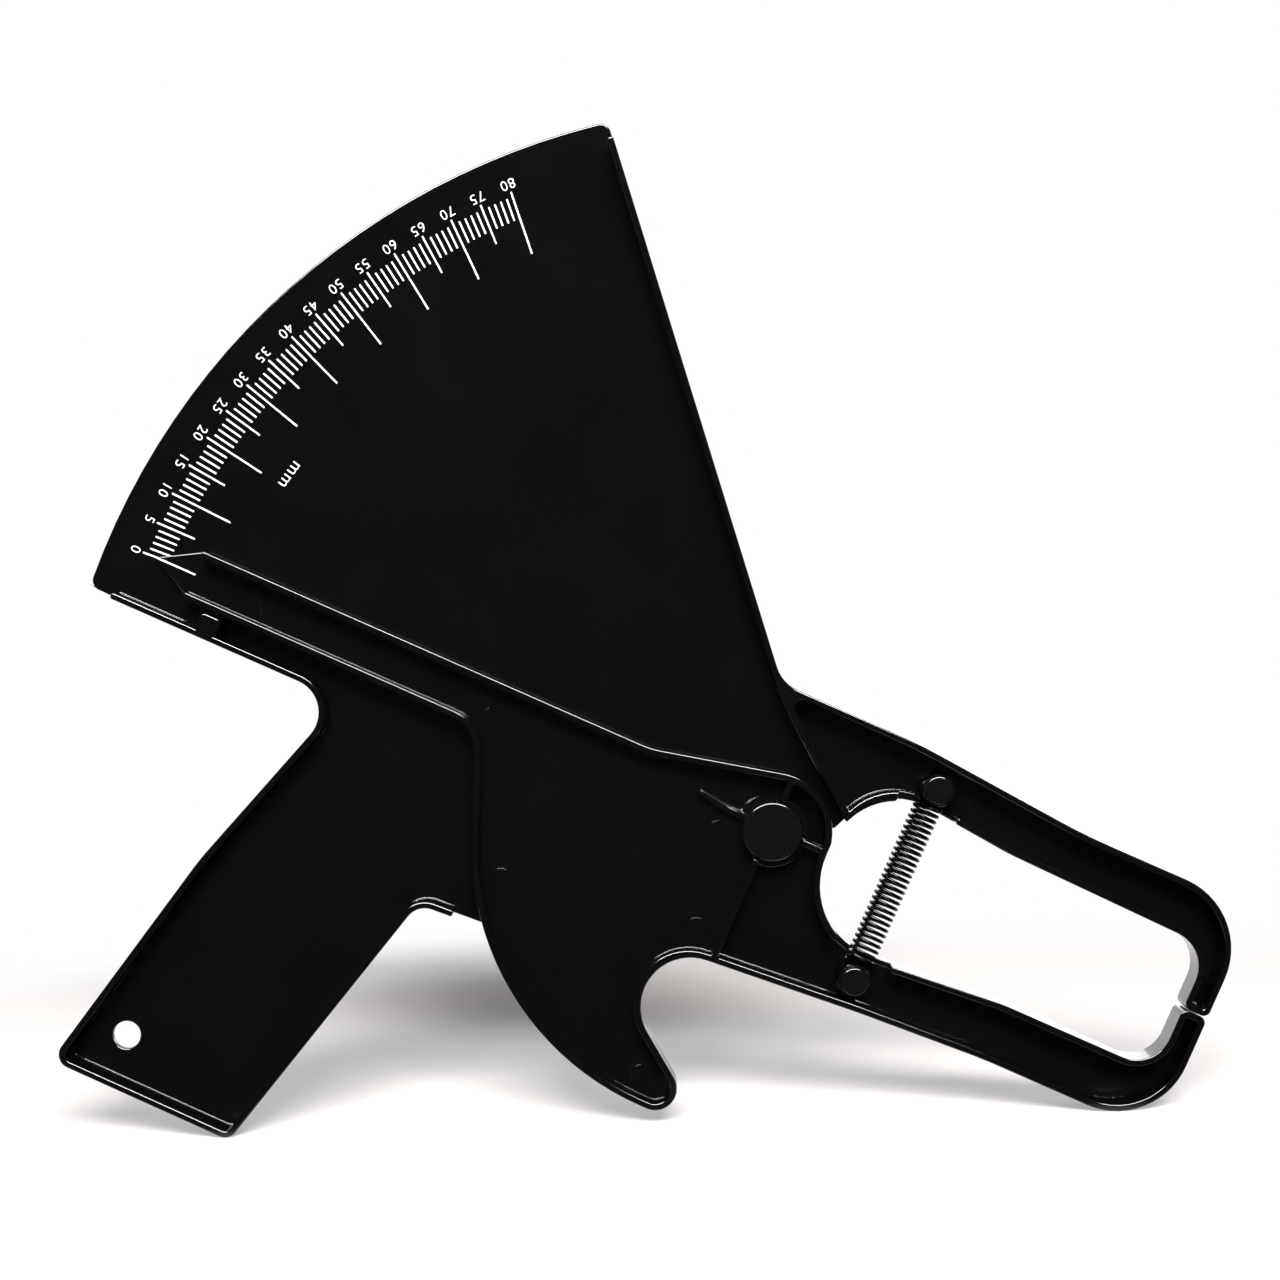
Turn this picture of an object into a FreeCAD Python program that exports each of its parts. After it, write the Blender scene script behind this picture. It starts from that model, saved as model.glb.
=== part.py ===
"""A skinfold caliper: a moulded frame with a printed dial, and a lever that is pointer, trigger and jaw.

The frame is one flat moulding: a dial sector, a grip below it and the upper jaw. The lever turns on a
headed pin. Its left arm points at the dial, its lower arm is the trigger, and its right arm is the lower
jaw. A tension spring between the jaws keeps them closed.

Every piece is drawn in a flat drawing frame, in millimetres: the pivot axis is the origin, the zero line of
the dial runs to -X, the jaws lie on +X, and Z is the depth from the flat back (0) to the rims (depth).
At the end each piece gets the same Placement, which stands the caliper on its grip and its lower jaw.
"""
import FreeCAD, Part
import math
import os
import Sketcher

Vector = FreeCAD.Vector

STRAIGHT = 1e-6         # a corner that turns less than this isn't rounded
SIDE_SHARE = 0.98       # most of a side that the roundings at its two ends may take
LEAST_REMOVED = 0.01    # a pocket that removes less, in cubic millimetres, is an error

# ---------------------------------------------------------------------------------------------------------
# Driving dimensions, in millimetres and degrees: (alias, value, meaning)
# ---------------------------------------------------------------------------------------------------------
SIZES = [
    # both mouldings
    ("depth", 12.0, "flat back to the top of the rims"),
    ("plate", 2.5, "thickness of the flat plates"),
    ("rim", 1.5, "width of the rims along the edges"),
    ("layer_gap", 0.4, "frame plate to the web of the lever that passes over it"),
    ("lever_web", 2.2, "web of the pointer and the trigger"),
    ("slide_gap", 0.4, "clearance between edges that pass each other"),
    ("travel", 45.0, "swing of the lever, jaws closed to jaws open"),
    ("recess_round", 0.5, "smallest rounding inside a recess"),
    # dial sector
    ("sector_radius", 169.7, "pivot axis to the curved edge"),
    ("sector_round", 2.5, "rounding of the two ends of the curved edge"),
    ("sector_edge_angle", 49.05, "slope of the straight edge beside the last division"),
    ("sector_edge_offset", 12.24, "pivot axis to that straight edge"),
    ("sector_foot", 12.3, "zero line to the lower edge of the sector"),
    # grip
    ("grip_root_x", -103.8, "where the sector's lower edge turns into the grip"),
    ("grip_root_round", 7.8, "rounding of that corner"),
    ("grip_bend_x", -118.9, "slight bend in the outer side of the grip"),
    ("grip_bend_y", -59.3, ""),
    ("grip_bend_round", 60.0, ""),
    ("grip_heel_x", -131.85, "outer corner at the bottom of the grip"),
    ("grip_heel_y", -116.1, ""),
    ("grip_heel_round", 3.3, ""),
    ("grip_toe_x", -86.55, "inner corner at the bottom of the grip"),
    ("grip_toe_y", -116.5, ""),
    ("grip_toe_round", 3.0, ""),
    ("grip_crook_x", -68.45, "inside corner between the grip and its nose"),
    ("grip_crook_y", -48.5, ""),
    ("grip_crook_round", 4.9, ""),
    ("grip_nose_x", -52.8, "nose of the grip, behind the trigger"),
    ("grip_nose_y", -47.5, ""),
    ("grip_nose_round", 2.5, ""),
    ("grip_rim_start", 7.0, "curved edge of the dial to the start of the rim on its lower edge"),
    ("grip_rim_end", 76.9, "pivot axis to the end of the rim on the nose, outside the swing of the trigger"),
    ("hang_hole_x", -119.1, "hole to hang the caliper up"),
    ("hang_hole_y", -105.5, ""),
    ("hang_hole_radius", 3.25, ""),
    # hub and pivot
    ("hub_radius", 6.8, "round end of the frame plate under the lever's boss"),
    ("boss_radius", 8.7, "boss of the lever round the pivot"),
    ("boss_lift", 0.8, "boss above the web of the lever"),
    ("nose_radius", 13.8, "round end of the lever beside the pivot"),
    ("nose_lap", 0.8, "back of that round end, cut back so that the frame plate reaches under its rim"),
    ("rib", 1.5, "width of the cross ribs on the lever"),
    ("rib_top", 8.0, "height of the cross ribs above the back"),
    ("rib_reach", 19.1, "pivot axis to the free end of the cross rib"),
    ("rib_raise", 0.3, "middle of the cross rib above the zero line"),
    ("rib_bend_x", -11.5, "where the cross rib bends up towards its free end"),
    ("rib_bend_round", 12.0, ""),
    ("rib_rise", 1.2, "free end of the cross rib above the rest of it"),
    ("shank_radius", 3.0, "shank of the pivot pin"),
    ("running_fit", 0.05, "radial clearance of the pivot pin"),
    ("head_radius", 7.05, "head of the pivot pin"),
    ("head_sink", 0.4, "head of the pivot pin below the rims"),
    ("head_float", 0.2, "head of the pivot pin to the boss"),
    ("head_chamfer", 0.5, ""),
    ("washer_radius", 6.0, "washer between the frame and the lever"),
    ("washer_thickness", 0.3, ""),
    ("retainer_radius", 5.5, "push-on ring that holds the pin at the back"),
    ("retainer_thickness", 0.9, ""),
    ("retainer_pocket", 1.0, "depth of the counterbore for the ring"),
    # upper jaw, part of the frame
    ("divider_angle", 38.3, "slope of the rib between the sector and the jaw"),
    ("divider_offset", 16.1, "pivot axis to the near side of that rib"),
    ("divider", 1.7, "width of that rib"),
    ("gusset_x", -6.9, "left end of the jaw's recess"),
    ("gusset_round", 1.5, ""),
    ("neck_round", 8.9, "inside corner between the sector and the jaw"),
    ("jaw_root", 32.35, "zero line to the back of the upper jaw beside the neck"),
    ("jaw_root_x", 22.2, "where the upper jaw starts to taper"),
    ("jaw_waist_x", 65.8, "where both jaws stop tapering"),
    ("jaw_half", 28.5, "zero line to the back of each jaw at its end"),
    ("jaw_end", 109.2, "pivot axis to the end faces of the jaws"),
    ("jaw_round", 17.5, "outer corner of each jaw"),
    ("jaw_bend_round", 150.0, "slight bends in the backs of the jaws"),
    ("tip", 6.1, "width of the contact tips"),
    ("tip_round", 1.7, ""),
    ("tip_line", 1.0, "contact line of the tips above the zero line"),
    ("tip_gap", 0.2, "gap between the closed tips"),
    # opening between the jaws
    ("loop_half", 16.1, "zero line to the inside of the upper jaw at its end"),
    ("loop_round", 8.4, "inside corners at the tips"),
    ("loop_bend_x", 52.1, "slight bend in the inside of the upper jaw"),
    ("loop_bend_y", 17.36, ""),
    ("loop_bend_round", 60.0, ""),
    ("loop_head_x", 19.76, "inside corner of the frame beside the pivot"),
    ("loop_head_y", 20.55, ""),
    ("loop_head_round", 16.0, ""),
    ("loop_neck_angle", 22.4, "direction in which that corner ends at the lever's nose"),
    ("loop_neck_round", 1.0, ""),
    # lower jaw, part of the lever
    ("low_root_y", -33.2, "back of the lower jaw below the pivot"),
    ("low_bend_x", 35.0, "slight bend in the back of the lower jaw"),
    ("low_bend_y", -30.3, ""),
    ("low_loop_y", -15.0, "inside of the lower jaw at its end"),
    ("low_loop_bend_x", 64.6, "slight bend in the inside of the lower jaw"),
    ("nose_inset", 0.3, "inside corner of the lever to the edge of its round end"),
    ("low_loop_head_y", -19.5, "inside corner of the lever beside the pivot"),
    ("low_loop_head_round", 18.1, ""),
    ("nose_round", 4.0, "where the lever's round end runs into the opening"),
    # pointer
    ("pointer_top", 6.35, "zero line to the upper edge of the pointer"),
    ("pointer_bottom", 5.5, "zero line to the lower edge of the pointer"),
    ("pointer_bend_x", -33.5, "where the upper edge starts to rise to the hub"),
    ("pointer_bend_round", 20.0, ""),
    ("pointer_end", -146.8, "end of the pointer's rims, base of the arrow"),
    ("arrow_tip_x", -157.3, "tip of the arrow"),
    ("arrow_tip_y", 0.3, ""),
    ("arrow_round", 0.3, ""),
    # trigger
    ("trigger_root_x", -72.7, "where the pointer's lower edge turns into the trigger"),
    ("trigger_root_round", 8.6, ""),
    ("trigger_belly_x", -46.7, "corner of the trigger, rounded by the large belly radius"),
    ("trigger_bottom", 70.45, "zero line to the lowest point of the trigger"),
    ("trigger_belly_round", 65.0, ""),
    ("trigger_tip_round", 5.06, "tip of the trigger"),
    ("hook_angle", 36.0, "slope of the finger hook's lower side"),
    ("hook_offset", 48.4, "pivot axis to that side"),
    ("hook_round", 11.5, "bottom of the finger hook"),
    # zero stop
    ("stop_x", -141.3, "left side of the stop under the pointer"),
    ("stop_width", 4.8, ""),
    ("stop_gap", 1.1, "stop to the lower edge of the pointer"),
    ("stop_round", 1.0, ""),
    # spring and its pins
    ("spring_x", 31.5, "line through both spring pins to the pivot axis"),
    ("coil_shift", 0.75, "axis of the coils beside that line, towards the pivot"),
    ("spring_half", 24.3, "zero line to each spring pin"),
    ("spring_radius", 3.5, "outside of the coils"),
    ("spring_depth", 7.5, "back to the spring axis"),
    ("coil_end", 19.6, "zero line to each end of the coils"),
    ("coil_count", 27.0, ""),
    ("wire_radius", 0.35, ""),
    ("eye_radius", 3.15, "eye of each spring hook, to the middle of the wire"),
    ("eye_pull", 1.1, "upper eye off the middle of its pin, as the spring pulls it"),
    ("notch_left", 8.3, "line of the pins to the left end of the gap in the inner rims, for the spring's swing"),
    ("notch_right", 6.4, "the same for the right end"),
    ("notch_gap", 0.4, "coils to the sill in that gap"),
    ("peg_radius", 1.5, "shank of the spring pins"),
    ("peg_boss_radius", 2.75, "boss that each spring pin is pressed into"),
    ("peg_boss_top", 6.8, "boss to the back"),
    ("peg_head_bottom", 8.3, "underside of the pin's head to the back"),
    ("peg_head_radius", 3.85, ""),
    ("peg_head_thickness", 2.2, ""),
    ("peg_head_chamfer", 0.8, ""),
    # ejector marks of the mouldings
    ("ejector_radius", 2.35, ""),
    ("ejector_height", 0.15, ""),
    ("ejector_1_x", -128.0, "marks in the pointer and the trigger"),
    ("ejector_1_y", 0.5, ""),
    ("ejector_2_x", -70.2, ""),
    ("ejector_2_y", -2.1, ""),
    ("ejector_3_x", -53.5, ""),
    ("ejector_3_y", -35.9, ""),
    ("ejector_4_x", -4.9, ""),
    ("ejector_4_y", -64.7, ""),
    ("ejector_5_x", -7.0, ""),
    ("ejector_5_y", -28.0, ""),
    ("ejector_6_x", -11.3, ""),
    ("ejector_6_y", -5.0, ""),
    ("ejector_7_x", -11.3, ""),
    ("ejector_7_y", 5.0, ""),
    ("ejector_8_x", 5.5, "marks in the lower jaw"),
    ("ejector_8_y", -10.8, ""),
    ("ejector_9_x", 65.0, ""),
    ("ejector_9_y", -22.4, ""),
    # printed dial
    ("divisions", 80.0, "millimetres on the dial"),
    ("division_angle", 0.55, "turn of the lever for one millimetre of opening"),
    ("mark_outer", 159.7, "pivot axis to the outer end of the short lines"),
    ("mark_outer_long", 160.9, "the same for the lines at 5 and 10 millimetres"),
    ("mark_short", 5.3, "length of the lines"),
    ("mark_five", 9.7, ""),
    ("mark_ten", 15.2, ""),
    ("mark_width", 0.38, ""),
    ("mark_thickness", 0.06, "thickness of the print"),
    ("mark_focus", 22.0, "pivot axis to the point that all lines aim at, towards mid scale"),
    ("index_length", 9.6, "white line on the arrow"),
    ("index_inset", 0.5, "tip of the arrow to the start of that line"),
]

doc = FreeCAD.newDocument("skinfold_caliper")
sheet = doc.addObject("Spreadsheet::Sheet", "sizes")
for row, (alias, value, meaning) in enumerate(SIZES, start=1):
    sheet.set("A%d" % row, meaning)
    sheet.set("B%d" % row, str(value))
    sheet.setAlias("B%d" % row, alias)
doc.recompute()


def size(alias):
    """A driving dimension, as the sheet holds it."""
    return float(sheet.get(alias))


# ---------------------------------------------------------------------------------------------------------
# Outlines. A corner is (x, y, rounding) or (x, y, rounding, arc). The side that follows a corner is straight,
# or an arc about the pivot axis: arc is its radius, above zero when it runs counter-clockwise.
# Outlines run counter-clockwise, with the solid on their left.
# ---------------------------------------------------------------------------------------------------------
def unit(v):
    return v * (1.0 / v.Length)


def left_of(v):
    return Vector(-v.y, v.x, 0)


def polar(radius, degrees):
    angle = math.radians(degrees)
    return Vector(radius * math.cos(angle), radius * math.sin(angle), 0)


class Side:
    """One side of an outline: a straight line from start to end, or an arc about the pivot axis."""

    def __init__(self, start, end, arc=0.0):
        self.start = start
        self.end = end
        self.arc = arc

    def heading(self, point):
        """Direction of travel at a point of the side."""
        if not self.arc:
            return unit(self.end - self.start)
        return unit(left_of(point)) * math.copysign(1.0, self.arc)

    def shifted(self, distance):
        """The same side, moved to its left."""
        if not self.arc:
            shift = left_of(self.heading(self.start)) * distance
            return Side(self.start + shift, self.end + shift)
        radius = abs(self.arc) - distance * math.copysign(1.0, self.arc)
        return Side(unit(self.start) * radius, unit(self.end) * radius, math.copysign(radius, self.arc))

    def foot(self, point):
        """The point of the side nearest to a point beside it."""
        if self.arc:
            return unit(point) * abs(self.arc)
        heading = self.heading(self.start)
        return self.start + heading * (point - self.start).dot(heading)

    def middle(self):
        """A point halfway along an arc."""
        first = math.atan2(self.start.y, self.start.x)
        sweep = math.atan2(self.end.y, self.end.x) - first
        if self.arc > 0:
            sweep %= 2 * math.pi
        else:
            sweep = -((-sweep) % (2 * math.pi))
        return polar(abs(self.arc), math.degrees(first + sweep / 2))


def meet(first, second, near):
    """Where two sides cross, at the crossing nearest to a point."""
    if first.arc:
        first, second = second, first
    heading = first.heading(first.start)
    if not second.arc:
        across = left_of(second.heading(second.start))
        return first.start + heading * ((second.start - first.start).dot(across) / heading.dot(across))
    closest = first.foot(Vector(0, 0, 0))
    half = math.sqrt(second.arc ** 2 - closest.Length ** 2)
    ends = [closest + heading * half, closest - heading * half]
    return min(ends, key=lambda end: (end - near).Length)


def sides_of(corners, closed=True):
    """The sides of an outline, and the rounding at the start of each."""
    count = len(corners)
    points = [Vector(corner[0], corner[1], 0) for corner in corners]
    sides = []
    for i in range(count if closed else count - 1):
        arc = corners[i][3] if len(corners[i]) > 3 else 0.0
        sides.append(Side(points[i], points[(i + 1) % count], arc))
    return sides


def turn(before, after, point):
    """Above zero where the outline turns left at a point."""
    return before.heading(point).cross(after.heading(point)).z


def rounding_arc(before, after, point, radius):
    """Start, middle and end of the arc that rounds a corner."""
    offset = math.copysign(radius, turn(before, after, point))
    centre = meet(before.shifted(offset), after.shifted(offset), point)
    start = before.foot(centre)
    end = after.foot(centre)
    middle = centre + unit((start + end) * 0.5 - centre) * radius
    return start, middle, end


def curves(corners):
    """Lines and tangent arcs of a closed outline. A rounding is smaller where its sides are too short."""
    sides = sides_of(corners)
    count = len(sides)
    reach = []
    for i, corner in enumerate(corners):
        point = sides[i].start
        if corner[2] and abs(turn(sides[i - 1], sides[i], point)) > STRAIGHT:
            start, middle, end = rounding_arc(sides[i - 1], sides[i], point, corner[2])
            reach.append(max((start - point).Length, (end - point).Length))
        else:
            reach.append(0.0)
    arcs = []
    for i, corner in enumerate(corners):
        point = sides[i].start
        if not reach[i]:
            arcs.append((point, None, point))
            continue
        share = 1.0
        for other, side in ((i - 1, sides[i - 1]), ((i + 1) % count, sides[i])):
            room = SIDE_SHARE * (side.end - side.start).Length
            share = min(share, room / (reach[i] + reach[other]))
        arcs.append(rounding_arc(sides[i - 1], sides[i], point, corner[2] * share))
    result = []
    for i in range(count):
        start, middle, end = arcs[i]
        if middle is not None:
            result.append(Part.Arc(start, middle, end))
        following = arcs[(i + 1) % count][0]
        if sides[i].arc:
            arc = Side(end, following, sides[i].arc)
            result.append(Part.Arc(end, arc.middle(), following))
        else:
            result.append(Part.LineSegment(end, following))
    return result


def inset(corners, width, closed=True):
    """The corners of an outline that runs beside another, on its solid side."""
    sides = sides_of(corners, closed)
    moved = [side.shifted(width) for side in sides]
    result = []
    for i, corner in enumerate(corners):
        arc = moved[i].arc if i < len(moved) else 0.0
        if not closed and i in (0, len(corners) - 1):
            end = moved[0].start if i == 0 else moved[-1].end
            result.append((end.x, end.y, corner[2], arc))
            continue
        point = sides[i].start
        bend = turn(sides[i - 1], sides[i], point)
        place = point + left_of(sides[i].heading(point)) * width
        if abs(bend) > STRAIGHT:
            place = meet(moved[i - 1], moved[i], place)
        radius = corner[2]
        if radius:
            radius = max(radius - math.copysign(width, bend), size("recess_round"))
        result.append((place.x, place.y, radius, arc))
    return result


def band(chain, width):
    """A strip along a chain of corners, as a closed outline."""
    back = inset(chain, width, closed=False)
    result = list(chain[:-1]) + [(chain[-1][0], chain[-1][1], 0.0, 0.0)]
    for i in range(len(back) - 1, -1, -1):
        arc = -back[i - 1][3] if i else 0.0
        result.append((back[i][0], back[i][1], back[i][2], arc))
    return result


def box_outline(x_low, x_high, y_low, y_high, rounding=0.0):
    return [(x_low, y_low, rounding), (x_high, y_low, rounding), (x_high, y_high, rounding),
            (x_low, y_high, rounding)]


def line_at(degrees, offset, rightwards=1.0):
    """A straight side with a slope, at a distance to the left of the pivot axis."""
    heading = polar(1.0, degrees)
    start = left_of(heading) * offset
    return Side(start, start + heading) if rightwards > 0 else Side(start + heading, start)


# ---------------------------------------------------------------------------------------------------------
# Bodies
# ---------------------------------------------------------------------------------------------------------
removals = []


def origin_plane(body, role):
    return next(feature for feature in body.Origin.OriginFeatures if feature.Role == role)


def new_sketch(body, name, height="0", role="XY_Plane"):
    """An empty sketch on a plane of the body, lifted by an expression."""
    sketch = body.newObject("Sketcher::SketchObject", name)
    sketch.AttachmentSupport = (origin_plane(body, role), [""])
    sketch.MapMode = "FlatFace"
    sketch.setExpression(".AttachmentOffset.Base.z", height)
    return sketch


def outline_sketch(body, name, outlines, height):
    sketch = new_sketch(body, name, height)
    for outline in outlines:
        sketch.addGeometry(curves(outline), False)
    return sketch


def circle_sketch(body, name, centres, radius, height):
    """Equal circles, with their radius and places bound to the sheet. Each centre is two expressions."""
    sketch = new_sketch(body, name, height)
    doc.recompute()
    for x, y in centres:
        at = Vector(size(x) if x else 0.0, size(y) if y else 0.0, 0)
        number = sketch.addGeometry(Part.Circle(at, Vector(0, 0, 1), size(radius)), False)
        rule = sketch.addConstraint(Sketcher.Constraint("Radius", number, size(radius)))
        sketch.setExpression("Constraints[%d]" % rule, "sizes." + radius)
        for kind, alias, value in (("DistanceX", x, at.x), ("DistanceY", y, at.y)):
            rule = sketch.addConstraint(Sketcher.Constraint(kind, -1, 1, number, 3, value))
            if alias:
                sketch.setExpression("Constraints[%d]" % rule, "sizes." + alias)
    return sketch


def pad(body, sketch, name, length):
    feature = body.newObject("PartDesign::Pad", name)
    feature.Profile = sketch
    feature.setExpression("Length", length)
    sketch.Visibility = False
    return feature


def pocket(body, sketch, name, length):
    """A pocket from the sketch towards the back of the moulding. Its effect is checked at the end."""
    before = body.Tip
    feature = body.newObject("PartDesign::Pocket", name)
    feature.Profile = sketch
    feature.setExpression("Length", length)
    sketch.Visibility = False
    removals.append((before, feature))
    return feature


def pad_outline(body, name, outlines, bottom, top):
    sketch = outline_sketch(body, name + "_sketch", outlines, bottom)
    return pad(body, sketch, name, "%s - (%s)" % (top, bottom))


def pocket_outline(body, name, outlines, floor, top):
    sketch = outline_sketch(body, name + "_sketch", outlines, top)
    return pocket(body, sketch, name, "%s - (%s)" % (top, floor))


def new_body(name):
    body = doc.addObject("PartDesign::Body", name)
    body.Label = name
    return body


BACK = "0"
PLATE = "sizes.plate"
TOP = "sizes.depth"
LEVER_BACK = "sizes.plate + sizes.layer_gap"
LEVER_FLOOR = "sizes.plate + sizes.layer_gap + sizes.lever_web"
BOSS_TOP = LEVER_FLOOR + " + sizes.boss_lift"
RIB_TOP = "sizes.rib_top"
SILL = "sizes.spring_depth - sizes.spring_radius - sizes.notch_gap"


def upper_jaw_back():
    """Corners along the back of the upper jaw, from its end to the neck."""
    taper = Side(Vector(size("jaw_root_x"), size("jaw_root"), 0),
                 Vector(size("jaw_waist_x"), size("jaw_half"), 0))
    sector_edge = line_at(-size("sector_edge_angle"), size("sector_edge_offset"))
    back = line_at(0.0, size("jaw_root"))
    neck = meet(sector_edge, back, Vector(0, 0, 0))
    return [
        (size("jaw_end"), size("jaw_half"), size("jaw_round")),
        (taper.end.x, taper.end.y, size("jaw_bend_round")),
        (taper.start.x, taper.start.y, size("jaw_bend_round")),
        (neck.x, neck.y, size("neck_round")),
    ]


def upper_jaw_inside():
    """Corners along the inside of the upper jaw, from the pivot to the tip."""
    inner = size("jaw_end") - size("tip")
    tip_y = size("tip_line") + size("tip_gap") / 2
    return [
        (size("loop_head_x"), size("loop_head_y"), size("loop_head_round")),
        (size("loop_bend_x"), size("loop_bend_y"), size("loop_bend_round")),
        (inner, size("loop_half"), size("loop_round")),
        (inner, tip_y, size("tip_round")),
        (size("jaw_end"), tip_y, size("tip_round")),
    ]


def loop_neck():
    """Where the inside edge of the frame passes the rim of the lever's nose."""
    return polar(size("nose_radius") + size("slide_gap"), size("loop_neck_angle"))


def nose_back_radius():
    """Radius of the lever's nose at the back, below the layer gap."""
    return size("nose_radius") - size("nose_lap")


def plate_neck():
    """End of the frame plate under the lever's nose, on the inside edge of the frame."""
    inside = Side(loop_neck(), Vector(size("loop_head_x"), size("loop_head_y"), 0))
    passing = Side(Vector(0, 0, 0), Vector(0, 0, 0), nose_back_radius() + size("slide_gap"))
    return meet(inside, passing, inside.start)


def sector_top():
    """End of the sector's straight edge on the curved edge."""
    edge = line_at(-size("sector_edge_angle"), size("sector_edge_offset"))
    curve = Side(Vector(0, 0, 0), Vector(0, 0, 0), size("sector_radius"))
    return meet(edge, curve, polar(size("sector_radius"), 180 - size("sector_edge_angle")))


def sector_corner():
    """End of the sector's lower edge on the curved edge."""
    foot = size("sector_foot")
    return Vector(-math.sqrt(size("sector_radius") ** 2 - foot ** 2), -foot, 0)


def grip_corners():
    """Corners round the grip, from the sector's lower edge to the nose behind the trigger."""
    return [
        (size("grip_root_x"), -size("sector_foot"), size("grip_root_round")),
        (size("grip_bend_x"), size("grip_bend_y"), size("grip_bend_round")),
        (size("grip_heel_x"), size("grip_heel_y"), size("grip_heel_round")),
        (size("grip_toe_x"), size("grip_toe_y"), size("grip_toe_round")),
        (size("grip_crook_x"), size("grip_crook_y"), size("grip_crook_round")),
    ]


def frame_outline():
    """The whole frame plate. It leaves room for the step of the lever, which swings below the hub."""
    top = sector_top()
    corner = sector_corner()
    neck = plate_neck()
    hub = size("hub_radius")
    passing = nose_back_radius() + size("slide_gap")
    clear = size("rib") + size("slide_gap")
    hub_low = polar(hub, -90.0 - size("travel") - math.degrees(math.asin(clear / hub)))
    return (
        [(corner.x, corner.y, size("sector_round"))]
        + grip_corners()
        + [
            (size("grip_nose_x"), size("grip_nose_y"), size("grip_nose_round")),
            (hub_low.x, hub_low.y, size("slide_gap"), hub),
            (-clear, math.sqrt(hub ** 2 - clear ** 2), size("slide_gap")),
            (-clear, math.sqrt(passing ** 2 - clear ** 2), size("slide_gap"), -passing),
            (neck.x, neck.y, size("loop_neck_round")),
        ]
        + upper_jaw_inside()
        + upper_jaw_back()
        + [(top.x, top.y, size("sector_round"), size("sector_radius"))]
    )


def jaw_rim_outline():
    """The raised outline round the upper jaw, with the rib beside the sector and its rim up to the dial."""
    head = Vector(size("loop_head_x"), size("loop_head_y"), 0)
    inside = Side(loop_neck(), head)
    divider = line_at(-size("divider_angle"), size("divider_offset"), -1.0)
    edge = line_at(-size("sector_edge_angle"), size("sector_edge_offset"))
    edge_inside = line_at(-size("sector_edge_angle"), size("sector_edge_offset") - size("rim"))
    ending = Side(Vector(0, 0, 0), Vector(0, 0, 0), size("sector_radius") - 2 * size("sector_round"))
    beyond = polar(size("sector_radius"), 180 - size("sector_edge_angle"))
    outer_end = meet(edge, ending, beyond)
    inner_end = meet(edge_inside, ending, beyond)
    bend = meet(edge_inside, divider, Vector(0, 0, 0))
    start = meet(inside, divider, head)
    return (
        [(start.x, start.y, 0.0)]
        + upper_jaw_inside()
        + upper_jaw_back()
        + [
            (outer_end.x, outer_end.y, 0.0),
            (inner_end.x, inner_end.y, size("recess_round")),
            (bend.x, bend.y, size("neck_round")),
        ]
    )


def jaw_recess_outline():
    """The recess of the upper jaw, inside its rims."""
    rim = size("rim")
    inside = Side(loop_neck(), Vector(size("loop_head_x"), size("loop_head_y"), 0))
    chain = [(inside.start.x, inside.start.y, 0.0)] + upper_jaw_inside() + upper_jaw_back()
    inner = inset(chain, rim, closed=False)
    divider = line_at(-size("divider_angle"), size("divider_offset") + size("divider"), -1.0)
    start = meet(inside.shifted(rim), divider, inside.end)
    left_side = Side(Vector(size("gusset_x"), 1, 0), Vector(size("gusset_x"), 0, 0))
    low = meet(left_side, divider, start)
    return (
        [(start.x, start.y, size("recess_round"))]
        + inner[1:-1]
        + [
            (size("gusset_x"), size("jaw_root") - rim, size("gusset_round")),
            (low.x, low.y, size("gusset_round")),
        ]
    )


def grip_rim_chain():
    """The edge from the dial's zero end, round the grip, to the end of the nose's rim."""
    foot = size("sector_foot")
    first = -math.sqrt((size("sector_radius") - size("grip_rim_start")) ** 2 - foot ** 2)
    crook = Vector(size("grip_crook_x"), size("grip_crook_y"), 0)
    nose = Side(crook, Vector(size("grip_nose_x"), size("grip_nose_y"), 0))
    swing = Side(Vector(0, 0, 0), Vector(0, 0, 0), size("grip_rim_end"))
    last = meet(nose, swing, nose.end)
    return [(first, -foot, size("recess_round"))] + grip_corners() + [(last.x, last.y, 0.0)]


def spring_notch(low, high):
    """The gap in an inner rim. The spring swings to the left in it as the jaws open."""
    return box_outline(size("spring_x") - size("notch_left"), size("spring_x") + size("notch_right"), low, high)


def add_peg_boss(body, name, side):
    """The boss that carries one spring pin, on the upper (1) or the lower (-1) jaw."""
    sketch = new_sketch(body, name + "_sketch", PLATE)
    at = Vector(size("spring_x"), side * size("spring_half"), 0)
    sketch.addGeometry(Part.Circle(at, Vector(0, 0, 1), size("peg_boss_radius")), False)
    pad(body, sketch, name, "sizes.peg_boss_top - sizes.plate")
    bore = new_sketch(body, name + "_bore_sketch", "sizes.peg_boss_top")
    bore.addGeometry(Part.Circle(at, Vector(0, 0, 1), size("peg_radius")), False)
    pocket(body, bore, name + "_bore", "sizes.peg_boss_top")


def add_ejector_marks(body, name, numbers, floor):
    """The flat discs that the mould's ejector pins leave on a floor."""
    centres = [("ejector_%d_x" % number, "ejector_%d_y" % number) for number in numbers]
    sketch = circle_sketch(body, name + "_sketch", centres, "ejector_radius", floor)
    pad(body, sketch, name, "sizes.ejector_height")


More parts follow.
